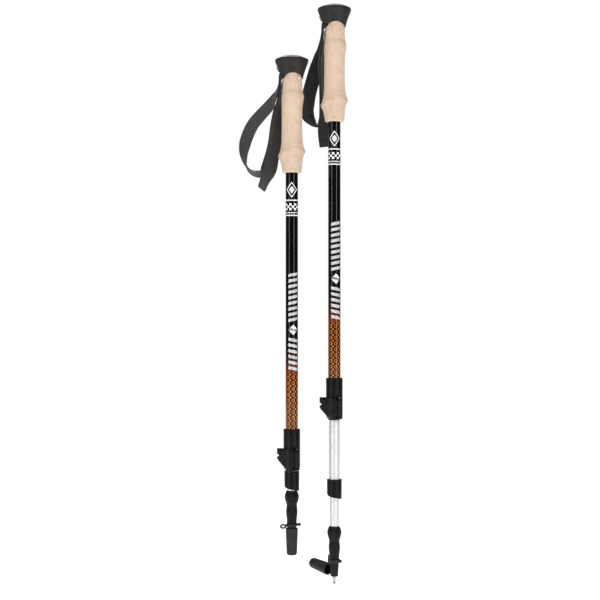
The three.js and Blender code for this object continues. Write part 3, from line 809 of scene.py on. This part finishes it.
def band_section(width, thick):
    """The band's rounded cross-section, counter-clockwise seen from its far end."""
    half, flat, section = thick / 2, width / 2 - thick * 0.5, []
    section += [(flat - 2 * flat * k / 8, half) for k in range(9)]
    section += [(-flat + half * cos(a), half * sin(a)) for a in arc(120, 240, 3)]
    section += [(-flat + 2 * flat * k / 8, -half) for k in range(9)]
    section += [(flat + half * cos(a), half * sin(a)) for a in arc(-60, 60, 3)]
    return section


def band(name, stops, hem=0.0):
    """A ribbon of webbing along the stops, thicker over a folded hem at its end."""
    frames = band_frames(smooth_line(stops, 1.6))
    length = frames[-1][3]
    section = band_section(STRAP_WIDTH, STRAP_THICK)
    points, uvs = [], []
    wander = random.Random(7)
    drift = [wander.uniform(-1, 1) for _ in range(12)]
    for centre, across, normal, distance in frames:
        swell = 1.85 if hem and distance > length - hem else 1.0
        wave = sum(0.05 * d * sin(distance * (0.05 + 0.03 * n) + 3 * d)
                   for n, d in enumerate(drift[:5]))
        for a, n in section:
            curl = 0.22 * (a / (STRAP_WIDTH / 2)) ** 2 * sin(distance * 0.045 + drift[6])
            points.append(tuple(centre + across * a + normal * (n * swell + wave + curl)))
            uvs.append((a * MM, distance * MM))
    mesh = mesh_from((points, walls(len(frames), len(section))), MM)
    layer = mesh.uv_layers.new(name="band")
    for loop in mesh.loops:
        layer.data[loop.index].uv = uvs[loop.vertex_index]
    return stand(f"{name}_look", dressed(mesh, name, "webbing", 50)), frames


def frame_at(frames, distance):
    for one, two in zip(frames, frames[1:]):
        if two[3] >= distance:
            t = (distance - one[3]) / max(1e-9, two[3] - one[3])
            return [one[k].lerp(two[k], t) for k in range(3)]
    return list(frames[-1][:3])


def stitch_rows(frames, rows, side=1, lift=0.0):
    """Sewn stitches on a band. Each row runs from (across, along) to (across, along)."""
    shells = []
    for (a0, s0), (a1, s1) in rows:
        run = hypot(a1 - a0, s1 - s0)
        count = max(1, round(run / 2.1))
        for k in range(count):
            ends = []
            for t in ((k + 0.16) / count, (k + 0.84) / count):
                a, s = a0 + (a1 - a0) * t, s0 + (s1 - s0) * t
                centre, across, normal = frame_at(frames, s)
                ends.append(centre + across * a + normal * side * (STRAP_THICK / 2 + lift))
                facing = normal
            shells.append(stitch(ends[0], ends[1], facing))
    return join(*shells)


def stitch(start, end, facing):
    """One sewn stitch: a short thread, fat in the middle and sunk at its ends."""
    direction = (end - start).normalized()
    side = direction.cross(facing).normalized()
    points, faces = [], []
    stations = [(-0.02, 0.05, -0.25), (0.15, 0.26, 0.02), (0.5, 0.32, 0.14), (0.85, 0.26, 0.02),
                (1.02, 0.05, -0.25)]
    for t, r, lift in stations:
        centre = start.lerp(end, t) + facing * lift
        for k in range(6):
            a = TAU * k / 6
            points.append(tuple(centre + side * r * cos(a) + facing * r * sin(a)))
    for i in range(len(stations) - 1):
        for k in range(6):
            m = (k + 1) % 6
            faces.append([i * 6 + k, (i + 1) * 6 + k, (i + 1) * 6 + m, i * 6 + m])
    return outward(points, faces + [list(range(6)), list(reversed(range(24, 30)))])


def add_strap(side, base, loop, tail):
    """The wrist loop and its loose tail, held in the cap and hanging from it."""
    body, handle = f"{side}_strap", f"{side}_handle"
    routes = {
        "loop": (lead_in("outer") + [tucked(s) for s in loop] + lead_in("inner")[::-1], 0),
        "tail": (lead_in("tail") + [tucked(s) for s in tail], HEM),
    }
    strands, frames = {}, {}
    for kind, (stops, hem) in routes.items():
        strands[kind], frames[kind] = band(f"{side}_strap_{kind}", stops, hem)
        strands[kind].location = base
    first = min(frames["loop"], key=lambda f: abs(f[0].z - SEWN_AT) + (1000 if f[3] > 120 else 0))[3]
    half = STRAP_WIDTH / 2 - 2.2
    bars = [((-half, first + d), (half, first + d)) for d in (9, 13, 17)]
    vee = [((-half + 1, first + 6), (0, first - 5)), ((half - 1, first + 6), (0, first - 5)),
           ((-half + 4.5, first + 6), (0, first + 0.5)), ((half - 4.5, first + 6), (0, first + 0.5))]
    end = frames["tail"][-1][3] - HEM + 0.9
    hem_row = [((-half - 0.8, end), (half + 0.8, end))]
    sewn = join(
        stitch_rows(frames["loop"], bars + vee, 1), stitch_rows(frames["loop"], bars, -1),
        stitch_rows(frames["tail"], hem_row, 1, 0.55), stitch_rows(frames["tail"], hem_row, -1, 0.55),
    )
    mesh = mesh_from(sewn, MM)
    mesh.shade_smooth()
    mesh.materials.append(LOOKS["thread"][0].material)
    stitches = stand(f"{side}_strap_stitching_look", mesh)
    stitches.location = base
    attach(stitches, body)
    for kind, strand in strands.items():
        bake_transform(strand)
        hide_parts(f"{side}_strap_{kind}")


# ---- printed motifs ----
def on_tube(a, z, proud=0.03):
    angle = -pi / 2 + a / UPPER_R
    r = UPPER_R + proud
    return *polar(r, angle), z


def printed(corners, cuts=8, rows=1):
    """A four-cornered patch in (round the tube, up) millimetres, wrapped on the tube."""
    a, b, c, d = (Vector(corner) for corner in corners)
    points, faces = [], []
    for i in range(cuts + 1):
        low, high = a.lerp(b, i / cuts), d.lerp(c, i / cuts)
        points += [on_tube(*low.lerp(high, j / rows)) for j in range(rows + 1)]
    for i in range(cuts):
        for j in range(rows):
            k = i * (rows + 1) + j
            faces.append([k, k + rows + 1, k + rows + 2, k + 1])
    return points, faces


def diamond_outline(middle, wide, tall, stroke):
    """A plain four-sided outline about the given height."""
    def corner(k, inset):
        a = TAU * k / 4
        return (wide - inset) * cos(a), middle + (tall - inset * tall / wide) * sin(a)
    return join(*(printed([corner(k, stroke), corner(k, 0), corner(k + 1, 0),
                           corner(k + 1, stroke)], 2, 10) for k in range(4)))


def bar_rows(top, rows, pitch, thick, rise, left=-4.6, right=8.4):
    """Rows of bars across the tube, all leaning the same way."""
    shells = []
    for k in range(rows):
        z = top - pitch * k
        shells.append(printed([(left, z - thick), (right, z - thick + rise), (right, z + rise),
                               (left, z)]))
    return join(*shells)


def diamond_print(a, z, wide, tall):
    lower = [(a - 0.1, z - tall), (a + 0.1, z - tall), (a + wide, z - 0.2), (a - wide, z - 0.2)]
    upper = [(a - wide, z + 0.2), (a + wide, z + 0.2), (a + 0.1, z + tall), (a - 0.1, z + tall)]
    return join(printed(lower, 6, 8), printed(upper, 6, 8))


def tube_print():
    """Plain white shapes: nested diamonds, a checker of squares and leaning bars."""
    shells = [diamond_outline(-22.4, 7.4, 10.4, 1.3), diamond_print(0, -22.4, 3.4, 4.8)]
    for row in range(3):
        for k in range(row % 2, 6, 2):
            x, z = -9.6 + 3.2 * k, -40.2 - 3.0 * row
            shells.append(printed([(x, z - 2.8), (x + 3.0, z - 2.8), (x + 3.0, z), (x, z)], 3))
    for k in range(9):
        x = -10 + 2.2 * k
        shells.append(printed([(x, -53), (x + 1.3, -53), (x + 1.3, -51.4), (x, -51.4)], 2))
    shells += [bar_rows(-132, 9, 7.3, 3.9, 2.6), diamond_print(2, -204.5, 6.2, 6.6),
               bar_rows(-214.5, 6, 7.4, 3.9, -2.6)]
    return join(*shells)


# ---- locks ----
def pin_place(lock):
    reach = lock["r"] + GAP + 0.1 + lock["barrel"]
    angle = radians(LEVER_START)
    return polar(reach, angle)


def pin_hole(lock):
    px, py = pin_place(lock)
    r, low = PIN_R + GAP, -lock["height"] - 2
    return shifted(revolve([(0, low), (r, low), (r, 1), (0, 1)], 32), px, py)


def screw_hole():
    r = SCREW_R + GAP
    bore = revolve([(0, -7), (r, -7), (r, 7), (0, 7)], 40)
    return shifted(moved(bore, spin(90, "Y")), 0, SCREW_Y, SCREW_Z)


def lock_body(lock):
    wide, narrow, r, height = lock["tube"] + 0.15, lock["inner"] + 0.2, lock["r"], lock["height"]
    chamfer = (3.2, 4.8) if lock is UPPER_LOCK else (1.0, 1.2)
    outline = rounded([
        (narrow, -height), (r - chamfer[0], -height, 0.6), (r, -height + chamfer[1], 1.6), (r, 0, 0.9),
        (r - 0.9, 0.0, 0.2), (wide, 0, 0.3), (wide, -lock["shelf"]), (narrow, -lock["shelf"]),
    ])
    sleeve = revolve(outline, 96, closed=True)
    px, py = pin_place(lock)
    first, last = lock["lugs"]
    slit = turned_z(box((7, 12), (-0.7, 0.7), (-height - 1, -first + 2)), LEVER_START)
    cutters = [slit]
    if lock is LOWER_LOCK:
        slope = [(x, -height + 0.6 + 4.6 * (x + r) / (2 * r) + (max(0, x - 7) ** 2) * 0.25)
                 for x in range(15, -16, -1)]
        slope += [(-15, -height - 5), (15, -height - 5)]
        cutters.append(upright(slab(slope, -15, 8)))
    if lock is UPPER_LOCK:
        cutters.append(screw_hole())
    parts = [carve(sleeve, cutters)]
    across = Vector((-py, px)).normalized() * lock["barrel"]
    root = Vector((px, py)) * ((r - 1.2) / hypot(px, py))
    begin = degrees(atan2(-across.y, -across.x))
    rim = [(px + lock["barrel"] * cos(a), py + lock["barrel"] * sin(a))
           for a in arc(begin, begin + 180, 16)]
    outline = [(root.x - across.x, root.y - across.y), *rim, (root.x + across.x, root.y + across.y)]
    for z0, z1 in ((-first - LUG_THICK, -first), (-last, -last + LUG_THICK)):
        parts.append(carve(slab(outline, z0, z1, 0.35), [pin_hole(lock)]))
    if lock is UPPER_LOCK:
        boss = [(-5, 8), (5, 8), (5, 13.4), (3.8, 15.6), (1.6, 16.4), (-1.6, 16.4), (-3.8, 15.6),
                (-5, 13.4)]
        parts.append(carve(slab(boss, -42.5, -33.5, 0.5), [screw_hole()]))
    rib = [polar(r, a) for a in arc(60, 120, 10)]
    rib += [polar(r + 0.7, a) for a in arc(120, 60, 10)]
    if lock is UPPER_LOCK:
        for z in (-8, -12, -16):
            parts.append(slab(rib[::-1], z - 0.7, z + 0.7, 0.25, 1))
    return turned_z(join(*parts), lock["turn"])


def lock_pin(lock):
    px, py = pin_place(lock)
    first, last = lock["lugs"]
    outline = rounded([(0, -last - 0.6), (PIN_R, -last - 0.6, 0.3), (PIN_R, -first + 0.6, 0.3),
                       (0, -first + 0.6)])
    return turned_z(shifted(revolve(outline, 32), px, py), lock["turn"])


def lock_screw():
    head = rounded([(0, -4.6), (SCREW_R, -4.6, 0.3), (SCREW_R, 5.4), (3.3, 5.4, 0.2),
                    (3.3, 8.4, 0.4), (0, 8.4)])
    socket = revolve([(0, 6.8), (1.5, 6.8), (1.5, 10), (0, 10)], 6)
    screw = carve(revolve(head, 40), [socket])
    screw = moved(screw, spin(90, "Y"))
    return shifted(screw, 0, SCREW_Y, SCREW_Z)


def sweep_rise(x, climb):
    """How far the lever's lower edge has climbed above its lowest point, under the sleeve."""
    return climb * (max(0.0, 2 - x) / 19) ** 1.8


def lever_shell(lock, wrap, reach, climb, inner, outer):
    """The lever's curved plate and its finger tab, as one closed form."""
    first, last = lock["lugs"]
    start = LEVER_START - degrees((lock["barrel"] + 0.6) / inner)
    end = LEVER_START - wrap
    lift_off = min(start - 4, end + 46)
    outside = [polar(outer, a) for a in arc(start, lift_off, 18)]
    tip = Matrix.Rotation(radians(end), 2)
    target = tip @ Vector((reach - 2.2, 2.7))
    begin = Vector(outside[-1])
    heading = Vector((sin(radians(lift_off)), -cos(radians(lift_off))))
    control = begin + heading * (target - begin).length * 0.52
    for k in range(1, 13):
        t = k / 12
        outside.append(tuple(begin * (1 - t) ** 2 + control * 2 * t * (1 - t) + target * t * t))
    outside += [tuple(tip @ Vector(v)) for v in ((reach - 0.6, 2.5), (reach, 1.6), (reach, 0.4))]
    flat = [(inner + 1.0, 0.2), (inner + 3.0, -0.2)]
    flat += [(inner + 3.0 + (reach - 0.4 - inner - 3.0) * k / 8, -0.2) for k in range(1, 9)]
    inside = [polar(inner, a) for a in arc(start, end + 3, 22)]
    inside += [tuple(tip @ Vector(v)) for v in flat]
    count, rows, points = len(outside), 12, []
    for i, (ox, oy) in enumerate(outside):
        place = i / (count - 1) * (len(inside) - 1)
        k = min(int(place), len(inside) - 2)
        f = place - k
        ix, iy = (p * (1 - f) + q * f for p, q in zip(inside[k], inside[k + 1]))
        top, bottom = -first, -last
        if climb:
            bottom += sweep_rise(min(ox, ix), climb) - 2.4
        inward = Vector((ix - ox, iy - oy))
        pull = inward.normalized() * min(EDGE_INSET, inward.length * 0.3)
        for row in range(rows + 1):
            z = top + (bottom - top) * row / rows
            at_edge = row in (0, rows)
            points.append((ox + pull.x, oy + pull.y, z) if at_edge else (ox, oy, z))
        points += [(ix, iy, bottom), (ix, iy, top)]
    return outward(points, walls(count, rows + 3))


def lock_lever(lock):
    wrap, reach, climb = lock["lever"]
    inner = lock["r"] + LEVER_GAP
    outer = inner + LEVER_THICK
    first, last = lock["lugs"]
    shell = lever_shell(lock, wrap, reach, climb, inner, outer)
    middle = -(first + last) / 2 + climb / 3
    notch = [(reach - 3.0, middle), (reach + 2, middle - 4.0), (reach + 2, middle + 4.0)]
    notch = turned_z(upright(slab(notch, -6, 6)), LEVER_START - wrap)
    shell = carve(shell, [notch])
    z0, z1 = -last + LUG_THICK + GAP, -first - LUG_THICK - GAP
    barrel = rounded([(0, z0), (lock["barrel"], z0, 0.4), (lock["barrel"], z1, 0.4), (0, z1)])
    barrel = shifted(revolve(barrel, 40), *pin_place(lock))
    clear = LEVER_START - (lock["barrel"] + 2.6) / inner * DEGREES
    web = [polar(inner, a) for a in arc(clear, LEVER_START, 8)]
    web += [polar(outer, a) for a in arc(LEVER_START, clear, 8)]
    hole = [pin_hole(lock)]
    parts = (carve(part, hole) for part in (shell, barrel, slab(web, z0, z1, 0.2, 1)))
    return turned_z(join(*parts), lock["turn"])


# ---- shaft ends ----
FERRULE = [
    (6.6, 0), (7.4, -1.6), (8.9, -5), (9.3, -8), (8.9, -11.5), (7.8, -15), (6.9, -18), (6.8, -20),
    (7.4, -25), (7.5, -28), (7.2, -32), (6.7, -36), (6.4, -38.5), (6.4, -42.6), (5.95, -43.2),
    (5.95, -48), (5.4, -56), (4.9, -64.3), (4.7, -65),
]


def spline(points, steps=4):
    """More points along a smooth line through the given ones."""
    line = [Vector(p) for p in points]
    made = []
    for i in range(len(line) - 1):
        p0, p1 = line[max(0, i - 1)], line[i]
        p2, p3 = line[i + 1], line[min(len(line) - 1, i + 2)]
        for k in range(steps):
            t = k / steps
            made.append(tuple(((p1 * 2) + (p2 - p0) * t + (p0 * 2 - p1 * 5 + p2 * 4 - p3) * t * t
                               + (p1 * 3 - p0 - p2 * 3 + p3) * t ** 3) / 2))
    made.append(tuple(line[-1]))
    return made


def tip_ferrule():
    """The moulded ferrule, with flutes round its upper bulge and rings lower down."""
    def fluted(r, a, z):
        if r < 6.4 or z < -37:
            return r
        upper = max(0.0, 1 - ((z + 8.6) / 7.4) ** 2)
        lower = max(0.0, 1 - ((z + 27) / 7.5) ** 2)
        groove = (0.5 + 0.5 * cos(18 * a)) ** 2
        return r - 0.65 * groove * min(1, 2 * upper) - 0.45 * groove * min(1, 2 * lower)
    outside = list(reversed(spline(FERRULE, 3)))
    return revolve([(2.95, -65), *outside, (6.05, 0), (6.05, -41.6), (2.95, -41.6)], 144,
                   closed=True, warp=fluted)


def tip_holder():
    outline = rounded([(0, -73.2), (1.75, -73.2, 0.2), (2.05, -71, 0.4), (2.9, -67, 0.6),
                       (2.9, -65.2, 0.3), (2.4, -65.2), (2.4, -50), (0, -50)])
    return revolve(outline, 40)


def carbide_point():
    def flexed(r, a, z):
        return r * (1 + 0.1 * cos(4 * a))
    outline = rounded([(0, -74.1), (0.9, -74.3, 0.2), (1.45, -75, 0.15), (1.6, -74.5, 0.2),
                       (1.6, -72.8), (0, -72.8)])
    return revolve(outline, 32, warp=flexed)


def keeper_ring():
    outline = rounded([(6.25, -46.6), (7.7, -46.6, 0.5), (7.7, -43.4, 0.5), (6.25, -43.4)])
    ring = revolve(outline + [outline[0]], 64)
    nub = [polar(2.2, a) for a in arc(-90, 90, 14)]
    nub[0], nub[-1] = (0, -2.2), (0, 2.2)
    stem = revolve([(0, 6.9), (0.95, 6.9), (0.95, 9.2), (0, 9.2)], 20)
    stem = moved(stem, spin(90, "Y"))
    return join(ring, shifted(revolve(nub, 28), 9.8, 0, RING_Z), shifted(stem, 0, 0, RING_Z))


def cord_along(line, rx, ry, closed=True):
    """A flattened rubber cord along a line of points in the XZ plane."""
    count, sides, points = len(line), 12, []
    side = Vector((0, 1, 0))
    for i, centre in enumerate(line):
        before = line[(i - 1) % count] if closed or i else centre
        after = line[(i + 1) % count] if closed or i < count - 1 else centre
        along = (Vector(after) - Vector(before)).normalized()
        out = along.cross(side).normalized()
        for k in range(sides):
            a = TAU * k / sides
            points.append(tuple(Vector(centre) + out * rx * cos(a) + side * ry * sin(a)))
    return outward(points, walls(count, sides, closed))


def folded_tether():
    """The left foot's tether, doubled back into a small eye beside the ring."""
    line = [(-11.4 + 3.15 * cos(a), 0, -46.4 + 2.1 * sin(a))
            for a in (TAU * k / 40 for k in range(40))]
    return cord_along(line, 1.15, 1.5)


def arched_tether():
    line = [p.xyz for p in smooth_line(
        [(-8.5, 0, -45.8, 0), (-8.6, 0, -43.6, 0), (-9.0, 0, -40.6, 0), (-10.2, 0, -38.9, 0),
         (-11.5, 0, -40.6, 0), (-11.9, 0, -44.4, 0), (-11.8, 0, -50.6, 0)], 0.5)]
    return cord_along(line, 0.7, 1.45, False)


def rubber_foot():
    """A hollow rubber foot, its mouth at z = 0, with a rounded, grooved sole."""
    outline = rounded([
        (0, -35), (1.6, -35, 0.1), (1.6, -34.3, 0.1), (2.4, -34.3, 0.1), (2.4, -35, 0.1),
        (3.6, -35, 0.1), (3.6, -34.3, 0.1), (4.3, -34.3, 0.1), (4.3, -35, 0.1), (5.9, -35, 0.9),
        (6.8, -32.6, 1.4), (7.4, -17), (7.95, -2.4, 1.0), (7.9, 0, 0.8), (6.9, 0, 0.4), (6.4, -0.6, 0.3),
        (5.25, -16.2, 0.8), (3.6, -17.6, 0.6), (3.4, -27.4, 0.4), (0, -27.4),
    ])
    return revolve(outline, 80)


def bush(tube_r, sleeve_r, top):
    spigot = tube_r - WALL - GAP
    outline = rounded([
        (0, top - 12), (spigot, top - 12, 0.5), (spigot, top + GAP), (sleeve_r - 0.15, top + GAP, 0.2),
        (sleeve_r - 0.15, top + 2.4, 0.2), (sleeve_r - 0.7, top + 2.9, 0.2),
        (sleeve_r - 0.7, top + 3.7, 0.2), (sleeve_r - 0.15, top + 4.2, 0.2),
        (sleeve_r - 0.15, top + 8, 0.3), (sleeve_r - 1.4, top + 10, 0.4), (0, top + 10),
    ])
    return revolve(outline, 56)


def tube(r, bottom, top):
    outline = rounded([(r - WALL, bottom), (r, bottom, 0.15), (r, top, 0.15), (r - WALL, top)])
    return revolve(outline, 96, closed=True)


# ---- the poles ----
def add_pole(side, loop, tail):
    low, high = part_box(f"{side}_upper_tube")
    base = Vector(((low.x + high.x) / 2, (low.y + high.y) / 2, low.z - UPPER_TUBE[0] * MM))
    middle, lower = (base + Vector((0, 0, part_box(f"{side}_{name}_tube")[0].z - base.z - bottom * MM))
                     for name, bottom in (("middle", MIDDLE_TUBE[0]), ("lower", LOWER_TUBE[0])))
    up_top, low_top, tip = (spot + Vector((0, 0, z * MM)) for spot, z in (
        (base, UPPER_LOCK["top"]), (middle, LOWER_LOCK["top"]), (lower, FERRULE_TOP)))
    handle, mid, end = "handle", "middle_section", "lower_section"

    def add(name, make, look, at, body, kind=None, **more):
        return piece(f"{side}_{name}", kind or name, make, look, at, f"{side}_{body}",
                     [f"{side}_{name}"], **more)

    def add_lock(level, lock, at, body):
        for name, make, look, owner in (("body", lock_body, "lock", body), ("pin", lock_pin, "steel", body),
                                        ("lever", lock_lever, "lever", f"{level}_lever")):
            add(f"{level}_lock_{name}", lambda: make(lock), look, at, owner)

    cork = add("cork_grip", cork_grip, "cork", base, handle, smooth=50)
    # The cork's painted shade goes on the mesh once, for both grips.
    if "tone" not in cork.data.attributes:
        paint_cork_shade(cork.data)
    add("cap", cap, "cap", base, handle, smooth=35)
    add("cap_dome", cap_dome, "dome", base, handle)
    add("strap_wedge", strap_wedge, "wedge", base, "wedge")
    add("strap_anchor", strap_anchor, "webbing", base, handle)
    sign = -1 if side == "left" else 1
    plug_at = Matrix.Translation((PLUG[0] * MM, sign * PLUG[1] * MM, PLUG[2] * MM)) @ spin(-90 * sign, "X")
    add("grip_plug", grip_plug, "cork", base, handle, place=plug_at)
    add("upper_tube", lambda: tube(UPPER_R, *UPPER_TUBE), "tube", base, handle)
    piece(f"{side}_upper_print", "upper_print", tube_print, "print", base, f"{side}_handle")
    add_lock("upper", UPPER_LOCK, up_top, handle)
    add("upper_lock_screw", lock_screw, "steel", up_top, "tension_screw")
    add("middle_tube", lambda: tube(MIDDLE_R, *MIDDLE_TUBE), "anodised", middle, mid)
    add("middle_bush", lambda: bush(MIDDLE_R, UPPER_R - WALL, MIDDLE_TUBE[1]), "guide", middle, mid)
    add_lock("lower", LOWER_LOCK, low_top, mid)
    add("lower_tube", lambda: tube(LOWER_R, *LOWER_TUBE), "anodised", lower, end)
    add("lower_bush", lambda: bush(LOWER_R, MIDDLE_R - WALL, LOWER_TUBE[1]), "guide", lower, end)
    add("tip_ferrule", tip_ferrule, "ferrule", tip, end)
    add("carbide_tip", tip_holder, "holder", tip, end)
    piece(f"{side}_carbide_point", "carbide_point", carbide_point, "carbide", tip, f"{side}_{end}")
    if side == "left":
        tilt = (Matrix.Translation((0, 0, RING_Z * MM)) @ spin(LEFT_RING_TILT, "Y")
                @ Matrix.Translation((0, 0, -RING_Z * MM)))
        add("keeper_ring", keeper_ring, "rubber", tip, "ring", place=tilt)
        add("rubber_foot", rubber_foot, "rubber", tip + Vector((0, 0, FOOT_MOUTH * MM)), "foot")
        add("tether", folded_tether, "rubber", tip, "ring", place=tilt)
    else:
        add("keeper_ring", keeper_ring, "rubber", tip, "ring", place=spin(RIGHT_RING_TURN, "Z"))
        turn = spin(HANGING_FOOT["turn"], "Z")
        hang = turn @ Matrix.Translation((HANGING_FOOT["x"] * MM, 0, HANGING_FOOT["z"] * MM))
        hang = hang @ spin(HANGING_FOOT["tip"], "Y")
        add("rubber_foot", rubber_foot, "rubber", tip, "foot", place=hang)
        add("tether", arched_tether, "rubber", tip, "foot", kind="arched_tether", place=turn)
    add_strap(side, base, loop, tail)


add_pole("left", LEFT_LOOP, LEFT_TAIL)
add_pole("right", RIGHT_LOOP, RIGHT_TAIL)


# ---- stage, light and camera ----
def add_floor():
    ripple = random.Random(3)
    reach, cuts = 6.0, 24
    points = [(reach * (i / cuts * 2 - 1), reach * (j / cuts * 2 - 1), ripple.uniform(0, 1e-5))
              for j in range(cuts + 1) for i in range(cuts + 1)]
    faces = [[j * (cuts + 1) + i, j * (cuts + 1) + i + 1, (j + 1) * (cuts + 1) + i + 1,
              (j + 1) * (cuts + 1) + i] for j in range(cuts) for i in range(cuts)]
    mesh = mesh_from((points, faces))
    look = Look("floor", Roughness=0.9, Specular_IOR_Level=0.1, Emission_Strength=0.86,
                Emission_Color=(1, 1, 1, 1))
    paper = look.noise(look.place(), 0.02, 3)
    look.give(Base_Color=look.mix(paper, rgb(248, 248, 248), rgb(252, 252, 252)))
    mesh.materials.append(look.material)
    floor = stand("floor", mesh)
    floor.location = (0, 0, CAD_BOX[0].z - DRAWN_OUT - FLOOR_GAP)


def add_area(name, at, aim, size, power):
    data = bpy.data.lights.new(name, "AREA")
    data.shape, data.size, data.size_y = "RECTANGLE", size[0], size[1]
    data.energy = power
    light = stand(name, data)
    light.location = at
    light.rotation_euler = (Vector(aim) - Vector(at)).to_track_quat("-Z", "Y").to_euler()
    light.visible_camera = False


def add_world():
    """White to the camera; to everything else a soft sky over a dark horizon."""
    world = bpy.data.worlds.new("studio")
    bpy.context.scene.world = world
    world.use_nodes = True
    tree = world.node_tree
    tree.nodes.clear()
    out, seen, lit, where, spread, place, path, mix = (
        tree.nodes.new("ShaderNode" + kind) for kind in (
            "OutputWorld", "Background", "Background", "SeparateXYZ", "MapRange", "TexCoord",
            "LightPath", "MixShader"))
    seen.inputs["Color"].default_value = (1, 1, 1, 1)
    for socket, value in zip(spread.inputs[1:5], (0.12, 0.6, 0.05, 0.5)):
        socket.default_value = value
    for source, target in (
            (place.outputs["Generated"], where.inputs[0]), (where.outputs[2], spread.inputs[0]),
            (spread.outputs[0], lit.inputs["Color"]), (path.outputs["Is Camera Ray"], mix.inputs[0]),
            (lit.outputs[0], mix.inputs[1]), (seen.outputs[0], mix.inputs[2]),
            (mix.outputs[0], out.inputs[0])):
        tree.links.new(source, target)


def add_camera():
    data = bpy.data.cameras.new("camera")
    data.lens, data.sensor_width = 76.8, 36
    camera = stand("camera", data)
    camera.location = (0.0107, -1.67, -0.2357)
    camera.rotation_euler = (pi / 2, 0, 0)
    bpy.context.scene.camera = camera


add_floor()
add_world()
CENTRE = (0.02, 0, -0.2)
LIGHT_REACH = 1.5
for name, angle, power in (("strip_left", -48, 10), ("strip_right", 42, 10),
                           ("back_left", -140, 1.5), ("back_right", 140, 1.5)):
    a = radians(angle)
    spot = (CENTRE[0] + LIGHT_REACH * sin(a), -LIGHT_REACH * cos(a), CENTRE[2])
    add_area(name, spot, CENTRE, (0.16, 1.9), power)
add_area("front", (0.05, -1.5, 1.5), CENTRE, (1.6, 1.0), 4)
add_area("top", (0.1, -0.3, 1.7), CENTRE, (1.4, 1.0), 5)
add_camera()
bpy.context.scene.view_settings.view_transform = "Standard"
